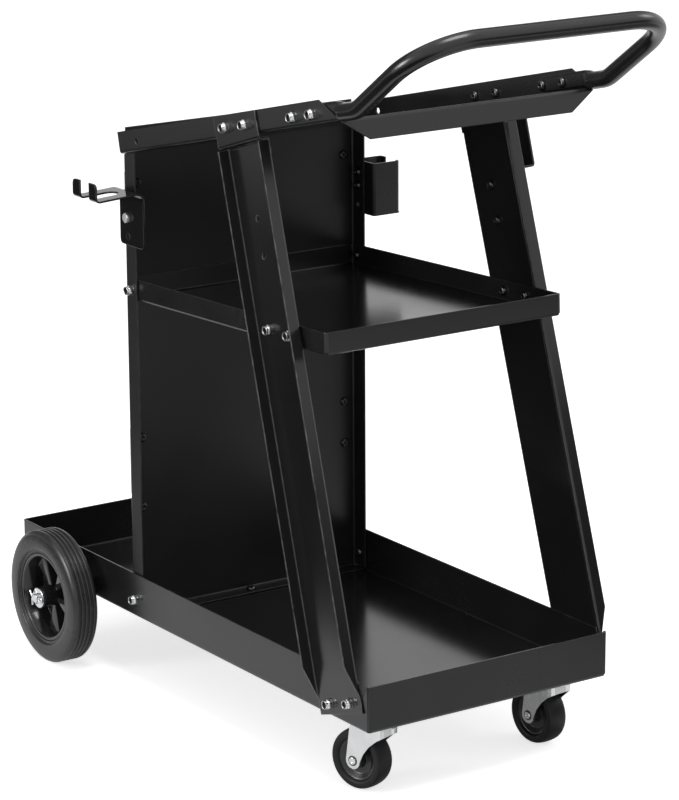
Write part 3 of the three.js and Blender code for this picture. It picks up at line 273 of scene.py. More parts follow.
def spread(tree, value, low, high, to_low=0.0, to_high=1.0):
    """Maps a value between two limits to between two others."""
    values = {"Value": value, "From Min": low, "From Max": high, "To Min": to_low, "To Max": to_high}
    return add_node(tree, "ShaderNodeMapRange", values).outputs["Result"]


def reckon(tree, how, first, second):
    return add_node(tree, "ShaderNodeMath", {0: first, 1: second}, operation=how).outputs[0]


def times(tree, first, second):
    return reckon(tree, "MULTIPLY", first, second)


def blend_colour(tree, share, first, second):
    inputs = {MIX_SHARE: share, MIX_FIRST: first, MIX_SECOND: second}
    return add_node(tree, "ShaderNodeMix", inputs, data_type="RGBA").outputs[MIX_RESULT]


# Effects that several finishes share
def build_grain():
    """Fine grain with slow drifts: a height, a roughness between two values, and a tone from 0 to 1."""
    tree, given, result = new_group(
        "Surface grain",
        [("Grain Scale", 900.0), ("Drift Scale", 9.0), ("Low", 0.3), ("High", 0.5)],
        [("Height", "NodeSocketFloat"), ("Roughness", "NodeSocketFloat"), ("Tone", "NodeSocketFloat")],
    )
    place = object_place(tree)
    fine = noise(tree, place, given.outputs["Grain Scale"], detail=2.0)
    drift = noise(tree, place, given.outputs["Drift Scale"], detail=4.0, roughness=0.6)
    tone = spread(tree, drift, 0.3, 0.7)
    mixed = reckon(tree, "ADD", times(tree, fine, 0.3), times(tree, tone, 0.7))
    rough = spread(tree, mixed, 0.1, 0.85, given.outputs["Low"], given.outputs["High"])
    tree.links.new(fine, result.inputs["Height"])
    tree.links.new(rough, result.inputs["Roughness"])
    tree.links.new(tone, result.inputs["Tone"])
    return tree


def build_edges():
    """Softened edges: a normal rounded over each edge, and a broken mask along them, which the coat uses for
    wear and for a painted highlight along its edges.
    """
    tree, given, result = new_group(
        "Edge wear and highlight",
        [("Width", 0.0008), ("Breakup Scale", 120.0)],
        [("Normal", "NodeSocketVector"), ("Mask", "NodeSocketFloat")],
    )
    round_off = add_node(tree, "ShaderNodeBevel", {"Radius": given.outputs["Width"]}, samples=6)
    face = add_node(tree, "ShaderNodeNewGeometry")
    normals = {0: round_off.outputs["Normal"], 1: face.outputs["Normal"]}
    likeness = add_node(tree, "ShaderNodeVectorMath", normals, operation="DOT_PRODUCT")
    edge = spread(tree, likeness.outputs["Value"], 0.99, 0.8)
    broken = spread(tree, noise(tree, object_place(tree), given.outputs["Breakup Scale"]), 0.35, 0.65)
    tree.links.new(round_off.outputs["Normal"], result.inputs["Normal"])
    tree.links.new(times(tree, edge, broken), result.inputs["Mask"])
    return tree


def build_dust():
    """A thin settled film on faces that look up."""
    tree, given, result = new_group(
        "Settled film",
        [("Amount", 0.1), ("Patch Scale", 14.0)],
        [("Mask", "NodeSocketFloat")],
    )
    face = add_node(tree, "ShaderNodeNewGeometry")
    up = add_node(tree, "ShaderNodeSeparateXYZ", {"Vector": face.outputs["Normal"]}).outputs["Z"]
    patch = spread(tree, noise(tree, object_place(tree), given.outputs["Patch Scale"], detail=5.0), 0.3, 0.75)
    facing = spread(tree, up, 0.5, 1.0)
    mask = times(tree, times(tree, facing, patch), given.outputs["Amount"])
    tree.links.new(mask, result.inputs["Mask"])
    return tree


GRAIN = build_grain()
EDGES = build_edges()
DUST = build_dust()


# Finishes
def use_effect(tree, group, **values):
    """An effect placed in a material with that material's own values."""
    made = add_node(tree, "ShaderNodeGroup", node_tree=group)
    for label, value in values.items():
        made.inputs[label.replace("_", " ")].default_value = value
    return made


def new_finish(name, **constants):
    """A new material with its shader, on whose own sockets the constants are set."""
    finish = bpy.data.materials.new(name)
    finish.use_nodes = True
    shader = finish.node_tree.nodes["Principled BSDF"]
    for label, value in constants.items():
        shader.inputs[label.replace("_", " ")].default_value = value
    return finish, finish.node_tree, shader


def raise_surface(tree, shader, grain, strength, distance, edges=None):
    """Feeds the grain's bump to the shader, on top of the softened edges where there are some."""
    inputs = {"Height": grain.outputs["Height"], "Strength": strength, "Distance": distance}
    if edges:
        inputs["Normal"] = edges.outputs["Normal"]
    bump = add_node(tree, "ShaderNodeBump", inputs)
    tree.links.new(bump.outputs["Normal"], shader.inputs["Normal"])


def flowed_out(tree):
    """How much of its roughness the coat keeps, which is less where it dried lying flat."""
    normal = add_node(tree, "ShaderNodeTexCoord").outputs["Normal"]
    up = add_node(tree, "ShaderNodeSeparateXYZ", {0: normal}).outputs["Z"]
    lying = add_node(tree, "ShaderNodeMath", {0: up}, operation="ABSOLUTE").outputs[0]
    return spread(tree, lying, 0.85, 0.97, 1.0, FLOWED_SHARE)


def black_coat(name, low, high, edge=0.09):
    """Sprayed and baked black coat: a fine orange peel, slow drifts of gloss, and greyer edges, partly wear
    and partly a painted highlight along the sheet's edges and folds.
    """
    finish, tree, shader = new_finish(name)
    grain = use_effect(tree, GRAIN, Grain_Scale=620.0, Drift_Scale=7.0, Low=low, High=high)
    edges = use_effect(tree, EDGES, Width=0.0012, Breakup_Scale=90.0)
    film = use_effect(tree, DUST, Amount=0.04, Patch_Scale=16.0)
    coat = blend_colour(tree, grain.outputs["Tone"], COAT_DARK, COAT_LIGHT)
    # The edge mask lightens the coat towards a grey: partly wear, partly a painted highlight along the sheet
    # edges and folds.
    edge_lightened = blend_colour(tree, times(tree, edges.outputs["Mask"], 0.75), coat, grey(edge))
    dusty = blend_colour(tree, film.outputs["Mask"], edge_lightened, COAT_DUST)
    tree.links.new(dusty, shader.inputs["Base Color"])
    rough = times(tree, grain.outputs["Roughness"], flowed_out(tree))
    tree.links.new(rough, shader.inputs["Roughness"])
    raise_surface(tree, shader, grain, strength=0.03, distance=0.0004, edges=edges)
    return finish


def plated_metal(name, cold, warm, low, high):
    """Plated steel: faint cold and warm clouds, a fine grain and brighter edges."""
    finish, tree, shader = new_finish(name, Metallic=1.0)
    grain = use_effect(tree, GRAIN, Grain_Scale=1400.0, Drift_Scale=60.0, Low=low, High=high)
    edges = use_effect(tree, EDGES, Width=0.0004, Breakup_Scale=300.0)
    clouds = blend_colour(tree, grain.outputs["Tone"], cold, warm)
    edge_lightened = blend_colour(tree, times(tree, edges.outputs["Mask"], 0.5), clouds, BARE_EDGE)
    tree.links.new(edge_lightened, shader.inputs["Base Color"])
    tree.links.new(grain.outputs["Roughness"], shader.inputs["Roughness"])
    raise_surface(tree, shader, grain, strength=0.12, distance=0.0002, edges=edges)
    return finish


def moulded_rubber(name, tone, low, high, sheen):
    """Moulded solid rubber: finely pitted, in drifts of tone, with a film of dust on top."""
    finish, tree, shader = new_finish(name, Specular_IOR_Level=sheen)
    grain = use_effect(tree, GRAIN, Grain_Scale=1100.0, Drift_Scale=22.0, Low=low, High=high)
    film = use_effect(tree, DUST, Amount=0.12, Patch_Scale=30.0)
    light = tuple(RUBBER_DRIFT * level for level in tone[:3]) + (1,)
    rubber = blend_colour(tree, grain.outputs["Tone"], tone, light)
    dusty = blend_colour(tree, film.outputs["Mask"], rubber, RUBBER_DUST)
    tree.links.new(dusty, shader.inputs["Base Color"])
    tree.links.new(grain.outputs["Roughness"], shader.inputs["Roughness"])
    raise_surface(tree, shader, grain, strength=0.15, distance=0.0003)
    return finish


def black_plastic(name, low, high):
    """Moulded black plastic with softened, greyer edges."""
    finish, tree, shader = new_finish(name)
    grain = use_effect(tree, GRAIN, Grain_Scale=1500.0, Drift_Scale=30.0, Low=low, High=high)
    edges = use_effect(tree, EDGES, Width=0.0008, Breakup_Scale=160.0)
    body = blend_colour(tree, grain.outputs["Tone"], PLASTIC_DARK, PLASTIC_LIGHT)
    edge_lightened = blend_colour(tree, times(tree, edges.outputs["Mask"], 0.3), body, PLASTIC_EDGE)
    tree.links.new(edge_lightened, shader.inputs["Base Color"])
    tree.links.new(grain.outputs["Roughness"], shader.inputs["Roughness"])
    raise_surface(tree, shader, grain, strength=0.1, distance=0.0002, edges=edges)
    return finish


COAT = black_coat("Black coat", low=0.20, high=0.28)
# The leg coat's edge grey of 0.42 is mostly a painted highlight along the edges of the leg flanges.
LEG_COAT = black_coat("Black leg coat", low=0.16, high=0.23, edge=0.42)
HOOK_COAT = black_coat("Black hook coat", low=0.09, high=0.14, edge=0.03)
PANEL_COAT = black_coat("Black panel coat", low=0.29, high=0.38)
TUBE_COAT = black_coat("Black tube coat", low=0.21, high=0.29)
ZINC = plated_metal("Zinc plate", ZINC_COLD, ZINC_WARM, low=0.12, high=0.26)
DULL_ZINC = plated_metal("Dull zinc plate", DULL_ZINC_COLD, ZINC_WARM, low=0.42, high=0.55)
BOLT_STEEL = plated_metal("Grey bolt steel", STEEL_COLD, STEEL_WARM, low=0.17, high=0.27)
RUBBER = moulded_rubber("Tyre rubber", TYRE_BLACK, low=0.20, high=0.32, sheen=0.36)
ROLLER_RUBBER = moulded_rubber("Roller rubber", ROLLER_BLACK, low=0.36, high=0.50, sheen=0.2)
PLASTIC = black_plastic("Rim plastic", low=0.07, high=0.14)
CORE_PLASTIC = black_plastic("Roller core plastic", low=0.26, high=0.38)

GREY_FASTENER = [ZINC, BOLT_STEEL, PLASTIC]
BLACK_FASTENER = [ZINC, COAT, PLASTIC]

# Finishes of the solids, by the end of their names, and words in the names of plated ones
NODE_FINISHES = {
    "_leg": LEG_COAT,
    "torch_hook": HOOK_COAT,
    "back_panel": PANEL_COAT,
    "caster_wheel": ROLLER_RUBBER,
    "wheel_tyre": RUBBER,
    "wheel_rim": PLASTIC,
}
PLATED_WORDS = (
    "bolt",
    "axle_spacer",
    "caster_axle",
    "rear_axle",
    "washer",
    "pin",
    "caster_plate",
    "caster_fork",
)


def node_finish(name):
    for ending, finish in NODE_FINISHES.items():
        if name.endswith(ending):
            return finish
    if any(word in name for word in PLATED_WORDS):
        return ZINC
    return COAT


def finish_nodes():
    """Gives each solid its finish."""
    for name, node in nodes.items():
        node.data.materials.clear()
        node.data.materials.append(node_finish(name))


# Profiles of turned pieces, from points of (radius, along) in millimetres
def rounded(corners, steps=3):
    """A profile through corners, of which those given as (radius, along, reach) are rounded off."""
    profile = []
    for i, (radius, along, *reach) in enumerate(corners):
        if not reach:
            profile.append((radius, along))
            continue
        here = Vector((radius, along))
        back = (Vector(corners[i - 1][:2]) - here).normalized() * reach[0]
        on = (Vector(corners[i + 1][:2]) - here).normalized() * reach[0]
        for j in range(steps + 1):
            share = j / steps
            profile.append(tuple(here + back * (1 - share) ** 2 + on * share ** 2))
    return profile


def dome(start, end, steps=4):
    """A round stretch, which leaves its start along the radius and ends along the axis."""
    profile = []
    for i in range(steps + 1):
        turn = math.pi / 2 * i / steps
        radius = start[0] + (end[0] - start[0]) * math.sin(turn)
        along = start[1] + (end[1] - start[1]) * (1 - math.cos(turn))
        profile.append((radius, along))
    return profile


def chamfered(bore, radius, low, high, cut, drop):
    """A ring or rod with its two outer edges cut back across and along."""
    return [
        (bore, low),
        (radius - cut, low),
        (radius, low + drop),
        (radius, high - drop),
        (radius - cut, high),
        (bore, high),
    ]


def other_side(profile):
    return [(radius, -along, *reach) for radius, along, *reach in profile[::-1]]


def both_ways(half):
    """A half profile from the middle outward, made whole by its mirror."""
    return other_side(half) + half


# Mesh helpers
def axis_place(centre, axis):
    """A place whose own Z lies along an axis."""
    return Matrix.Translation(centre) @ axis.to_track_quat("Z", "Y").to_matrix().to_4x4()


def box_middle(name):
    low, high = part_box(name)
    return (low + high) / 2


def hexagon_reach(angle, across):
    """How far a hexagon reaches at an angle."""
    off = (angle + math.pi / 6) % (math.pi / 3) - math.pi / 6
    return across / 2 / math.cos(off)


def add_ring(bm, ring, place, segments):
    """One ring of a turned piece: (radius, along), or (radius, along, across) to trim it to a hexagon."""
    radius, along, *across = ring
    if radius == 0:
        return [bm.verts.new(place @ Vector((0, 0, along * MM)))]
    row = []
    for i in range(segments):
        angle = 2 * math.pi * i / segments
        reach = radius
        if across:
            reach = min(radius, hexagon_reach(angle, across[0]))
        point = Vector((reach * math.cos(angle), reach * math.sin(angle), along))
        row.append(bm.verts.new(place @ (point * MM)))
    return row


def turned(bm, profile, place, segments=24, closed=True, finish=0):
    """Turns a profile round its axis, and joins its last ring to its first where it is closed."""
    rows = [add_ring(bm, ring, place, segments) for ring in profile]
    pairs = list(zip(rows, rows[1:]))
    if closed:
        pairs.append((rows[-1], rows[0]))
    for low, high in pairs:
        for i in range(segments):
            j = (i + 1) % segments
            corners = [low[i % len(low)], low[j % len(low)], high[j % len(high)], high[i % len(high)]]
            corners = list(dict.fromkeys(corners))
            if len(corners) > 2:
                bm.faces.new(corners).material_index = finish


def join_rows(bm, rows):
    """Faces between rows of as many points each, closed at both ends."""
    count = len(rows[0])
    for low, high in zip(rows, rows[1:]):
        for i in range(count):
            j = (i + 1) % count
            bm.faces.new((low[i], low[j], high[j], high[i]))
    bm.faces.new(rows[0][::-1])
    bm.faces.new(rows[-1])


def swept(bm, stations, sides=24):
    """Joins rings along a route; a station is (centre, half width, half height, squareness)."""
    centres = [station[0] for station in stations]
    ahead = [(end - start).normalized() for start, end in zip(centres, centres[1:])]
    ahead.append(ahead[-1])
    tangents = [ahead[0]] + [(a + b).normalized() for a, b in zip(ahead, ahead[1:])]
    side = Y - tangents[0] * tangents[0].dot(Y)
    if side.length < 0.1:
        side = Z - tangents[0] * tangents[0].dot(Z)
    side.normalize()
    rows = []
    for (centre, wide, tall, square), tangent in zip(stations, tangents):
        side = (side - tangent * tangent.dot(side)).normalized()
        up = tangent.cross(side)
        row = []
        for i in range(sides):
            angle = 2 * math.pi * i / sides
            across = math.cos(angle)
            rise = math.sin(angle)
            across = math.copysign(abs(across) ** (2 / square), across) * wide * MM
            rise = math.copysign(abs(rise) ** (2 / square), rise) * tall * MM
            row.append(bm.verts.new(centre + side * across + up * rise))
        rows.append(row)
    join_rows(bm, rows)


def between(start, end, step):
    """Points from a start to an end at even steps, without the start."""
    count = max(1, math.ceil((end - start).length / step))
    return [start.lerp(end, i / count) for i in range(1, count + 1)]


def bent_route(points, radii, step):
    """Points along straight runs joined by round bends."""
    route = [points[0]]
    for before, corner, after, radius in zip(points, points[1:], points[2:], radii):
        back = (before - corner).normalized()
        on = (after - corner).normalized()
        half = back.angle(on) / 2
        reach = radius / math.tan(half)
        middle = corner + (back + on).normalized() * (radius / math.sin(half))
        first = corner + back * reach
        last = corner + on * reach
        route += between(route[-1], first, step)
        turn = (first - middle).angle(last - middle)
        count = max(3, math.ceil(turn * radius / step * 2))
        axis = (first - middle).cross(last - middle)
        for i in range(1, count + 1):
            route.append(middle + Matrix.Rotation(turn * i / count, 3, axis) @ (first - middle))
    route += between(route[-1], points[-1], step)
    return route


def link_mesh(name, bm, finishes):
    """An object in the scene with the mesh and its finishes."""
    mesh = bpy.data.meshes.new(name)
    bm.to_mesh(mesh)
    bm.free()
    for finish in finishes:
        mesh.materials.append(finish)
    made = bpy.data.objects.new(name, mesh)
    bpy.context.scene.collection.objects.link(made)
    return made


def finish_piece(name, bm, finishes, body, stands_for=(), crease=35):
    """A piece of the cart, smooth up to the crease's angle, that rides on a body and replaces nodes."""
    bmesh.ops.recalc_face_normals(bm, faces=bm.faces)
    piece = link_mesh(name, bm, finishes)
    piece.data.shade_smooth()
    piece.data.set_sharp_from_angle(angle=math.radians(crease))
    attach(piece, body)
    if stands_for:
        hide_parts(*stands_for)


# Handle
def on_top(along, offset, level):
    """A point given along, across and above the sloping top tray, in millimetres."""
    x = along * math.cos(TOP_TILT) - level * math.sin(TOP_TILT)
    z = along * math.sin(TOP_TILT) + level * math.cos(TOP_TILT)
    return TOP_START + Vector((x, offset, z)) * MM


def ease(share):
    """A share from 0 to 1 that starts and ends gently."""
    return share * share * (3 - 2 * share)


def pinched_end(offset):
    """The flattened end of the tube, from its round tip to the full tube."""
    stations = []
    for i in range(TIP_STEPS + 1):
        turn = math.radians(TIP_FIRST + (90 - TIP_FIRST) * i / TIP_STEPS)
        along = FLAT_TIP - FLAT_HALF_HEIGHT * math.cos(turn)
        tall = FLAT_HALF_HEIGHT * math.sin(turn)
        stations.append((on_top(along, offset, FLAT_LEVEL), TIP_HALF_THICKNESS, tall, FLATTENED))
    flat_end = TUBE_START - PINCH_LENGTH
    for share in (0.3, 0.6, 0.9):
        along = FLAT_TIP + (flat_end - FLAT_TIP) * share
        centre = on_top(along, offset, FLAT_LEVEL)
        stations.append((centre, FLAT_HALF_THICKNESS, FLAT_HALF_HEIGHT, FLATTENED))
    for i in range(PINCH_STEPS + 1):
        share = ease(i / PINCH_STEPS)
        along = flat_end + PINCH_LENGTH * i / PINCH_STEPS
        level = FLAT_LEVEL + (TUBE_LEVEL - FLAT_LEVEL) * share
        wide = FLAT_HALF_THICKNESS + (TUBE_RADIUS - FLAT_HALF_THICKNESS) * share
        swell = PINCH_SWELL * math.sin(math.pi * share)
        tall = FLAT_HALF_HEIGHT + (TUBE_RADIUS - FLAT_HALF_HEIGHT) * share + swell
        square = FLATTENED + (ROUND - FLATTENED) * share
        stations.append((on_top(along, offset, level), wide, tall, square))
    return stations


def push_handle():
    """One bent tube: two arms with pinched ends, and the bar between them."""
    corners = [
        on_top(TUBE_START, -ARM_OFFSET, TUBE_LEVEL),
        on_top(ELBOW_AT, -ARM_OFFSET, TUBE_LEVEL),
        on_top(BAR_AT, -ARM_OFFSET, BAR_LEVEL),
        on_top(BAR_AT, ARM_OFFSET, BAR_LEVEL),
        on_top(ELBOW_AT, ARM_OFFSET, TUBE_LEVEL),
        on_top(TUBE_START, ARM_OFFSET, TUBE_LEVEL),
    ]
    radii = [radius * MM for radius in (ELBOW_RADIUS, CORNER_RADIUS, CORNER_RADIUS, ELBOW_RADIUS)]
    route = bent_route(corners, radii, ROUTE_STEP * MM)
    stations = pinched_end(-ARM_OFFSET)
    stations += [(point, TUBE_RADIUS, TUBE_RADIUS, ROUND) for point in route[1:-1]]
    stations += pinched_end(ARM_OFFSET)[::-1]
    bm = bmesh.new()
    swept(bm, stations, sides=32)
    finish_piece("push_handle", bm, [TUBE_COAT], "cart", ["handle"])


# Fasteners
def shank(head, end):
    """A bolt's shank from under its head to its chamfered tip."""
    return [(BOLT_RADIUS, head), (BOLT_RADIUS, end - TIP_CHAMFER), (TIP_RADIUS, end), (0, end)]


def add_locknut(bm, place, length):
    """A washer and a locknut whose collar stands round the bolt's end."""
    seat = length - BOLT_END - NUT_HEIGHT
    under = seat - WASHER_THICKNESS
    washer = chamfered(BOLT_RADIUS, WASHER_RADIUS, under, seat, WASHER_CHAMFER, WASHER_CHAMFER)
    turned(bm, washer, place, finish=BOLT)
    shoulder = length - COLLAR_HEIGHT
    collar_top = length - 0.3
    hexagon = [
        (BOLT_RADIUS, seat),
        (NUT_FACE_RADIUS, seat),
        (NUT_CORNER, seat + NUT_CHAMFER, NUT_ACROSS),
        (NUT_CORNER, shoulder - NUT_CHAMFER, NUT_ACROSS),
    ]
    collar = rounded([
        (COLLAR_RADIUS + 0.2, shoulder),
        (COLLAR_RADIUS, collar_top, 0.35),
        (COLLAR_BORE, collar_top, 0.25),
        (COLLAR_BORE, shoulder),
    ])
    turned(bm, hexagon + collar + [(BOLT_RADIUS, shoulder)], place, finish=NUT)
    insert = [
        (BOLT_RADIUS, shoulder),
        (INSERT_RADIUS, shoulder),
        (INSERT_RADIUS, length - 0.9),
        (3.2, length - 0.8),
        (BOLT_RADIUS, length - 1.2),
    ]
    turned(bm, insert, place, finish=INSERT_AND_SHADED_TIP)


def add_bolt(bm, start, out, length):
    """A button-head bolt from its head's top outward, with a locknut on it."""
    place = axis_place(start, out)
    end = length - SUNK_TIP
    socket = [
        (0, SOCKET_DEPTH),
        (SOCKET_RADIUS - 0.1, SOCKET_DEPTH - 0.2, SOCKET_ACROSS),
        (SOCKET_RADIUS, 0.15, SOCKET_ACROSS),
    ]
    head = dome((CROWN_RADIUS, 0), (HEAD_RADIUS, CROWN_HEIGHT)) + [(HEAD_RADIUS, HEAD_HEIGHT)]
    turned(bm, socket + head + shank(HEAD_HEIGHT, end), place, closed=False, finish=BOLT)
    # The bolt's end sits deep in the nut and takes the black insert finish: painted shade for that recess.
    shaded_tip = [(0, end - 0.1), (2.9, end - 0.1), (2.6, end + 0.2), (0, end + 0.2)]
    turned(bm, shaded_tip, place, closed=False, finish=INSERT_AND_SHADED_TIP)
    add_locknut(bm, place, length)


def add_hex_bolt(bm, start, out, length):
    """A hexagon-head bolt whose head looks outward, with a plain nut inside."""
    place = axis_place(start, out)
    seat = length - BOLT_END - NUT_HEIGHT - HEX_SEAT_DROP
    top = seat + HEX_HEAD_HEIGHT
    bolt = [
        (0, 0.4),
        (TIP_RADIUS, 0.4),
        (BOLT_RADIUS, 1),
        (BOLT_RADIUS, seat),
        (NUT_FACE_RADIUS, seat),
        (NUT_CORNER, seat + 0.4, NUT_ACROSS),
        (NUT_CORNER, top - NUT_CHAMFER, NUT_ACROSS),
        (4.6, top),
        (0, top),
    ]
    turned(bm, bolt, place, closed=False)
    nut = [
        (BOLT_RADIUS, HEX_NUT_LOW),
        (NUT_FACE_RADIUS, HEX_NUT_LOW),
        (NUT_CORNER, HEX_NUT_LOW + 0.4, NUT_ACROSS),
        (NUT_CORNER, HEX_NUT_HIGH - 0.3, NUT_ACROSS),
        (NUT_FACE_RADIUS, HEX_NUT_HIGH),
        (BOLT_RADIUS, HEX_NUT_HIGH),
    ]
    turned(bm, nut, place)


def bolt_place(name):
    """The inner end of a plain bolt, the way that it points from there, and its length in millimetres."""
    low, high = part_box(name)
    middle = (low + high) / 2
    size = (high - low) / MM
    if name == "panel_foot_bolt":
        return Vector((middle.x, middle.y, high.z)), -Z, size.z
    if middle.y < 0:
        return Vector((middle.x, high.y, middle.z)), -Y, size.y
    return Vector((middle.x, low.y, middle.z)), Y, size.y


def bolts():
    """Stands a detailed bolt in the place of each plain one."""
    for name in sorted(nodes):
        if "_bolt" not in name:
            continue
        start, out, length = bolt_place(name)
        bm = bmesh.new()
        finishes = GREY_FASTENER
        if name == "torch_hook_bolt":
            add_hex_bolt(bm, start, out, length)
            finishes = [DULL_ZINC]
        else:
            add_bolt(bm, start, out, length)
        if name.startswith("cable_hook"):
            finishes = BLACK_FASTENER
        finish_piece(name + "_detail", bm, finishes, "cart", [name])


def cradle_bolts():
    """Bolts through the panel into the cylinder cradles behind it; those below them hold the sheet alone."""
    bm = bmesh.new()
    for across, height in CRADLE_BOLTS:
        start = Vector((PANEL_FACE, TRAY_MIDDLE + across * MM, height * MM)) + X * (HEAD_HEIGHT * MM)
        grip = SHEET + SEAT + (CRADLE_SHEET if height > CRADLE_FOOT else 0)
        add_bolt(bm, start, -X, HEAD_HEIGHT + grip + WASHER_THICKNESS + NUT_HEIGHT + BOLT_END)
    finish_piece("cradle_bolts", bm, BLACK_FASTENER, "cart")


def add_floor_bolt(bm, under, grip):
    """A low round head under the tray and a locknut on its floor."""
    length = LOW_HEAD_HEIGHT + grip + WASHER_THICKNESS + NUT_HEIGHT + BOLT_END
    place = axis_place(under - Z * (LOW_HEAD_HEIGHT * MM), Z)
    head = dome((0, 0), (LOW_HEAD_RADIUS, LOW_CROWN_HEIGHT)) + [(LOW_HEAD_RADIUS, LOW_HEAD_HEIGHT)]
    turned(bm, head + shank(LOW_HEAD_HEIGHT, length - LOW_SUNK_TIP), place, closed=False, finish=BOLT)
    add_locknut(bm, place, length)


def caster_plate_bolts(side):
    low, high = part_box(f"{side}_caster_plate")
    middle = (low + high) / 2
    under = Vector((middle.x, middle.y, high.z - PLATE_SHEET * MM))
    bm = bmesh.new()
    for along in (-PLATE_BOLT_ALONG, PLATE_BOLT_ALONG):
        for across in (-PLATE_BOLT_ACROSS, PLATE_BOLT_ACROSS):
            add_floor_bolt(bm, under + Vector((along, across, 0)) * MM, PLATE_SHEET + SEAT + SHEET)
    finish_piece(f"{side}_caster_plate_bolts", bm, GREY_FASTENER, "cart")


def axle_saddle_bolts(side):
    low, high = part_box(f"{side}_axle_saddle")
    middle = (low + high) / 2
    under = Vector((middle.x, middle.y, high.z - SADDLE_EAR * MM))
    reach = (high.x - low.x) / 2 - SADDLE_BOLT_INSET * MM
    bm = bmesh.new()
    for along in (-reach, reach):
        add_floor_bolt(bm, under + X * along, SADDLE_EAR + SEAT + SHEET)
    finish_piece(f"{side}_axle_saddle_bolts", bm, GREY_FASTENER, "cart")


def tray_floor_bolts():
    """Bolts that hold the caster plates and the axle saddles under the tray."""
    for side in SIDES:
        caster_plate_bolts(side)
        axle_saddle_bolts(side)


# Rear wheels and axle
def tyre_profile():
    """A ribbed tread, round shoulders and a bead that lies on the rim."""
    half = []
    for middle in GROOVES:
        half += [
            (TYRE_RADIUS, middle - GROOVE_TOP, 1.0),
            (TYRE_RADIUS - GROOVE_DEPTH, middle - GROOVE_BASE, 0.4),
            (TYRE_RADIUS - GROOVE_DEPTH, middle + GROOVE_BASE, 0.4),
            (TYRE_RADIUS, middle + GROOVE_TOP, 1.0),
        ]
    half += [
        (TYRE_RADIUS, 12.0, 1.8),
        (71.5, 15.0, 2.6),
        (62.0, 16.2, 5.0),
        (54.2, 15.8, 1.6),
        (53.4, 13.4, 0.6),
        (BEAD_RADIUS, 13.8, 0.9),
        (BEAD_RADIUS, 11.5),
    ]
    return rounded(both_ways(half))


def barrel_profile():
    """The rim's ring with a closed back, so that the pockets between the spokes open outward."""
    return rounded([
        (RIM_RADIUS, -11.0),
        (RIM_RADIUS, -RIM_HALF_WIDTH, 0.7),
        (46.0, -RIM_HALF_WIDTH, 0.8),
        (46.0, -12.0),
        (11.0, -12.0),
        (11.0, -10.4),
        (41.4, -10.4),
        (42.0, 0.5, 2.5),
        (46.2, RIM_HALF_WIDTH, 1.5),
        (RIM_RADIUS, RIM_HALF_WIDTH, 0.7),
        (RIM_RADIUS, 11.0),
    ])


def hub_profile():
    return rounded([
        (HUB_BORE, -HUB_HALF_LENGTH),
        (11.2, -HUB_HALF_LENGTH, 0.8),
        (12.0, 3.0, 2.0),
        (11.2, HUB_HALF_LENGTH, 0.8),
        (HUB_BORE, HUB_HALF_LENGTH),
    ])


def add_spoke(bm, angle, place):
    """A wedge spoke with softened edges, narrow at the hub, on the wheel's own axis."""
    turn = place @ Matrix.Rotation(angle, 4, "Z")
    rows = []
    for radius, half in SPOKE_WIDTHS:
        section = [(cut - half, level) for cut, level in SPOKE_EDGE]
        section += [(half - cut, level) for cut, level in SPOKE_EDGE[::-1]]
        points = [turn @ (Vector((radius, across, level)) * MM) for across, level in section]
        rows.append([bm.verts.new(point) for point in points])
    join_rows(bm, rows)


def tyre(side, centre):
    bm = bmesh.new()
    turned(bm, tyre_profile(), axis_place(centre, Y), segments=128)
    stands_for = [f"{side}_wheel_tyre"]
    finish_piece(f"{side}_tyre", bm, [RUBBER], f"{side}_wheel", stands_for, crease=30)


def rim(side, centre):
    """A rim whose own Z looks outward, with one spoke straight down."""
    sign = SIDES[side]
    place = Matrix.Translation(centre) @ Matrix((X * sign, Z, Y * sign)).transposed().to_4x4()
    bm = bmesh.new()
    turned(bm, barrel_profile(), place, segments=96)
    turned(bm, hub_profile(), place, segments=64)
    for i in range(SPOKES):
        add_spoke(bm, math.pi / 2 + 2 * math.pi * (i + 0.5) / SPOKES, place)
    finish_piece(f"{side}_rim", bm, [PLASTIC], f"{side}_wheel", [f"{side}_wheel_rim"])


def rear_wheels():
    for side in SIDES:
        centre = box_middle(f"{side}_wheel_tyre")
        tyre(side, centre)
        rim(side, centre)


def axle_rod():
    low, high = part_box("rear_axle")
    half = (high.y - low.y) / 2 / MM
    rod = chamfered(0, AXLE_RADIUS, -half, half, AXLE_CHAMFER, AXLE_CHAMFER)
    bm = bmesh.new()
    turned(bm, rod, axis_place((low + high) / 2, Y), segments=48, closed=False)
    finish_piece("axle_rod", bm, [ZINC], "cart", ["rear_axle"])


def axle_washer(side):
    low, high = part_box(f"{side}_wheel_washer")
    half = (high.y - low.y) / 2 / MM
    washer = chamfered(
        AXLE_WASHER_BORE, AXLE_WASHER_RADIUS, -half, half, AXLE_WASHER_CUT, AXLE_WASHER_DROP
    )
    bm = bmesh.new()
    turned(bm, washer, axis_place((low + high) / 2, Y), segments=48)
    finish_piece(f"{side}_axle_washer", bm, [ZINC], "cart", [f"{side}_wheel_washer"])


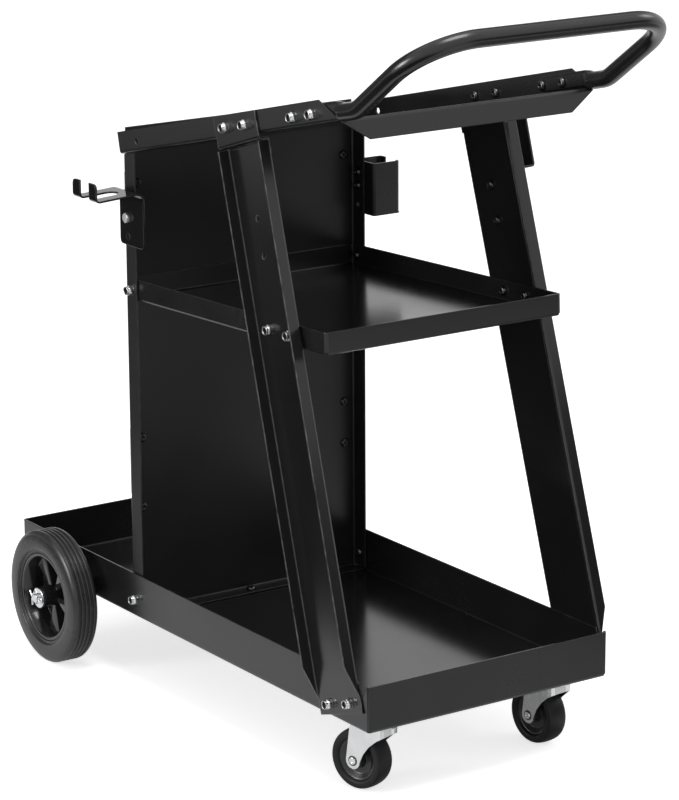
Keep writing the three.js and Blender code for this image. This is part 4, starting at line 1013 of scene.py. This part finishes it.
def split_pin(side):
    """A folded wire through the axle: an eye in front and two legs bent apart behind."""
    centre = box_middle("rear_axle")
    centre.y = box_middle(f"{side}_split_pin").y
    bm = bmesh.new()
    for (tip_x, tip_z), lift in zip(PIN_TIPS, (PIN_LEG_OFFSET, -PIN_LEG_OFFSET)):
        eye = []
        for i in range(EYE_STEPS):
            turn = math.pi * i / EYE_STEPS
            rise = math.copysign(EYE_RADIUS * math.sin(turn), lift)
            eye.append(centre + Vector((EYE_AT + EYE_RADIUS * math.cos(turn), 0, rise)) * MM)
        leg = ((EYE_AT - EYE_RADIUS, lift), (PIN_STRAIGHT_END, lift), (tip_x, tip_z))
        corners = [centre + Vector((x, 0, z)) * MM for x, z in leg]
        route = eye + bent_route(corners, [PIN_BEND * MM], PIN_STEP * MM)
        swept(bm, [(point, PIN_WIRE, PIN_WIRE, ROUND) for point in route], sides=12)
    finish_piece(f"{side}_pin", bm, [ZINC], "cart", [f"{side}_split_pin"])


def axle_ends():
    """The axle's rod, its washers and its split pins."""
    axle_rod()
    for side in SIDES:
        axle_washer(side)
        split_pin(side)


# Casters
def roller_axis(side):
    """The axle's direction, from the joint that the roller turns on."""
    for joint in frame["record"]["behaviour"]["joints"]:
        if joint["child"] == f"{side}_roller":
            return Vector(joint["axis"])


def roller(side, place):
    """A rubber roller on a turned core."""
    tread = rounded(both_ways([
        (ROLLER_RADIUS, 3.5, 3.0),
        (31.3, 8.6, 1.4),
        (30.0, 11.55, 1.8),
        (23.8, 11.4, 2.0),
        (21.6, 8.2),
    ]))
    core = rounded(both_ways([
        (CORE_RADIUS, 8.6),
        (21.0, 8.6, 0.8),
        (16.0, 4.6, 0.8),
        (9.5, 4.6, 0.9),
        (8.9, CORE_HALF_WIDTH, 0.6),
        (CORE_BORE, CORE_HALF_WIDTH),
    ]))
    finishes = [ROLLER_RUBBER, CORE_PLASTIC]
    stands_for = [f"{side}_caster_wheel"]
    bm = bmesh.new()
    turned(bm, tread, place, segments=72)
    turned(bm, core, place, segments=72, finish=finishes.index(CORE_PLASTIC))
    finish_piece(f"{side}_roller", bm, finishes, f"{side}_roller", stands_for, crease=28)


def roller_rivet(side, place):
    """The roller's axle, riveted over a ring on each side of the fork."""
    rivet = rounded(both_ways([
        (RIVET_RADIUS, FORK_HALF_WIDTH),
        (RIVET_RADIUS, RIVET_END, 0.9),
        (1.9, RIVET_END, 0.4),
        (1.4, RIVET_END - 0.7),
        (0, RIVET_END - 0.7),
    ]))
    ring = [
        (RIVET_RADIUS - 0.1, FORK_HALF_WIDTH),
        (RING_RADIUS, FORK_HALF_WIDTH),
        (RING_RADIUS, FORK_HALF_WIDTH + 0.2),
        (RING_RADIUS - 0.2, FORK_HALF_WIDTH + 0.4),
        (RIVET_RADIUS - 0.1, FORK_HALF_WIDTH + 0.4),
    ]
    finishes = [ZINC, BOLT_STEEL]
    stands_for = [f"{side}_caster_axle"]
    bm = bmesh.new()
    turned(bm, rivet, place, segments=40, closed=False)
    for collar in (ring, other_side(ring)):
        turned(bm, collar, place, segments=40, finish=finishes.index(BOLT_STEEL))
    finish_piece(f"{side}_roller_rivet", bm, finishes, f"{side}_swivel", stands_for)


def casters():
    for side in SIDES:
        place = axis_place(box_middle(f"{side}_caster_wheel"), roller_axis(side))
        roller(side, place)
        roller_rivet(side, place)


# Studio, in metres
WORLD_LIGHT = 0.55
FLOOR_HALF_SIZE = 6
FLOOR_COLOUR = grey(0.85)
FLOOR_WHITE = 0.7
FLOOR_GLOSS = 0.25

# Lamps: name, place, aim, size and power
LAMPS = (
    ("Overhead", (0.7, -0.2, 2.4), (0.0, 0.0, 0.3), 0.95, 26),
    ("Near side", (-0.6, -2.6, 1.0), (0.0, 0.0, 0.5), 0.8, 18),
    ("Far side", (1.0, 2.45, 2.1), (0.1, 0.0, 0.5), 1.1, 10),
)

# Cards on the floor, seen only in the cart's gloss as painted reflections: name, rear and front end, near and
# far side, and tone
CARD_LEVEL = 0.003
CARD_FACE = grey(0.01)
FLOOR_CARDS = (
    ("near_side_card", -3.2, 1.8, -2.0, -0.43, 0.01),
    # The card under the cart paints the cart's shadow into its reflections of the glowing floor.
    ("under_card", -0.32, 0.30, -0.12, 0.14, 0.25),
    ("front_floor_card", 0.40, 0.95, -0.25, 0.38, 0.65),
    ("far_side_card", 0.25, 1.36, 0.38, 1.7, 0.25),
)

# Standing cards, seen only in the cart's gloss: the dark ones paint darker reflections and the light cards
# paint highlights; name, the two places that it stands between, lowest and highest level, and tone
STANDING_CARDS = (
    ("front_card", (1.3, 2.1), (2.45, 0.4), 0.12, 0.82, 0.01),
    ("near_light_card", (-1.2, -2.7), (0.0, -2.7), 0.5, 1.6, 7.0),
    ("far_light_card", (0.5, 2.6), (1.4, 2.4), 1.6, 2.5, 4.0),
    ("rear_card", (-2.6, -3.2), (-2.6, 0.7), 0.25, 3.2, 0.12),
    ("far_rear_card", (-2.6, 0.7), (-0.9, 2.6), 1.5, 3.4, 0.15),
)


def camera():
    data = bpy.data.cameras.new("Camera")
    data.sensor_fit = "VERTICAL"
    data.sensor_height = SENSOR_HEIGHT
    data.lens = CAMERA_LENS
    back = Vector((
        math.sin(CAMERA_TURN) * math.cos(CAMERA_HEIGHT),
        -math.cos(CAMERA_TURN) * math.cos(CAMERA_HEIGHT),
        math.sin(CAMERA_HEIGHT),
    ))
    right = Vector((math.cos(CAMERA_TURN), math.sin(CAMERA_TURN), 0))
    up = back.cross(right)
    rolled = right * math.cos(CAMERA_ROLL) + up * math.sin(CAMERA_ROLL)
    raised = up * math.cos(CAMERA_ROLL) - right * math.sin(CAMERA_ROLL)
    turn = Matrix((rolled, raised, back)).transposed().to_4x4()
    eye = bpy.data.objects.new("Camera", data)
    eye.matrix_world = Matrix.Translation(CAMERA_AIM + back * CAMERA_DISTANCE) @ turn
    bpy.context.scene.collection.objects.link(eye)
    bpy.context.scene.camera = eye


def studio_world():
    """White to the camera, in gloss and through glass, and a weaker light on the cart."""
    world = bpy.data.worlds.new("Studio")
    bpy.context.scene.world = world
    world.use_nodes = True
    tree = world.node_tree
    tree.nodes.clear()
    path = add_node(tree, "ShaderNodeLightPath").outputs
    straight = reckon(tree, "MAXIMUM", path["Is Camera Ray"], path["Is Glossy Ray"])
    seen = reckon(tree, "MAXIMUM", straight, path["Is Transmission Ray"])
    shown = add_node(tree, "ShaderNodeBackground", {"Color": WHITE, "Strength": 1.0})
    light = add_node(tree, "ShaderNodeBackground", {"Color": WHITE, "Strength": WORLD_LIGHT})
    mix = add_node(tree, "ShaderNodeMixShader", {0: seen, 1: light.outputs[0], 2: shown.outputs[0]})
    add_node(tree, "ShaderNodeOutputWorld", {"Surface": mix.outputs[0]})


def floor_finish():
    """A pale floor that glows towards the camera and a little in gloss, and keeps the cart's shadow."""
    finish, tree, shader = new_finish(
        "Pale floor", Base_Color=FLOOR_COLOUR, Roughness=0.9, Specular_IOR_Level=0.1
    )
    path = add_node(tree, "ShaderNodeLightPath").outputs
    straight = reckon(tree, "MAXIMUM", path["Is Camera Ray"], path["Is Transmission Ray"])
    gloss = times(tree, path["Is Glossy Ray"], FLOOR_GLOSS)
    lift = reckon(tree, "ADD", times(tree, straight, FLOOR_WHITE), gloss)
    glow = add_node(tree, "ShaderNodeEmission", {"Color": WHITE, "Strength": lift})
    both = add_node(tree, "ShaderNodeAddShader", {0: shader.outputs[0], 1: glow.outputs[0]})
    tree.links.new(both.outputs[0], tree.nodes["Material Output"].inputs["Surface"])
    return finish


def studio_floor():
    bm = bmesh.new()
    bmesh.ops.create_grid(bm, x_segments=2, y_segments=2, size=FLOOR_HALF_SIZE)
    floor = link_mesh("floor", bm, [floor_finish()])


def add_lamp(name, place, aim, size, power):
    """A square soft lamp turned towards its aim."""
    data = bpy.data.lights.new(name, "AREA")
    data.shape = "SQUARE"
    data.size = size
    data.energy = power
    light = bpy.data.objects.new(name, data)
    light.location = place
    light.rotation_euler = (Vector(aim) - Vector(place)).to_track_quat("-Z", "Y").to_euler()
    bpy.context.scene.collection.objects.link(light)


def add_card(name, corners, tone):
    """A dark, grey or bright glowing card that shows only in the cart's gloss, as a painted reflection."""
    finish = new_finish(
        name,
        Base_Color=CARD_FACE,
        Roughness=1.0,
        Specular_IOR_Level=0.0,
        Emission_Color=WHITE,
        Emission_Strength=tone,
    )[0]
    bm = bmesh.new()
    bm.faces.new([bm.verts.new(corner) for corner in corners])
    card = link_mesh(name, bm, [finish])
    card.visible_camera = False
    card.visible_diffuse = False
    card.visible_transmission = False
    card.visible_shadow = False


def studio():
    """World, floor, lamps, and the glowing cards that paint the cart's reflections: darker surroundings,
    bright highlights, and the cart's own shadow under it.
    """
    studio_world()
    studio_floor()
    for lamp in LAMPS:
        add_lamp(*lamp)
    for name, rear, front, near, far, tone in FLOOR_CARDS:
        outline = ((rear, near), (front, near), (front, far), (rear, far))
        add_card(name, [(x, y, CARD_LEVEL) for x, y in outline], tone)
    for name, start, end, low, high, tone in STANDING_CARDS:
        add_card(name, [(*start, low), (*end, low), (*end, high), (*start, high)], tone)


camera()
studio()
finish_nodes()
push_handle()
bolts()
cradle_bolts()
tray_floor_bolts()
rear_wheels()
axle_ends()
casters()

bpy.context.scene.view_settings.view_transform = "Standard"
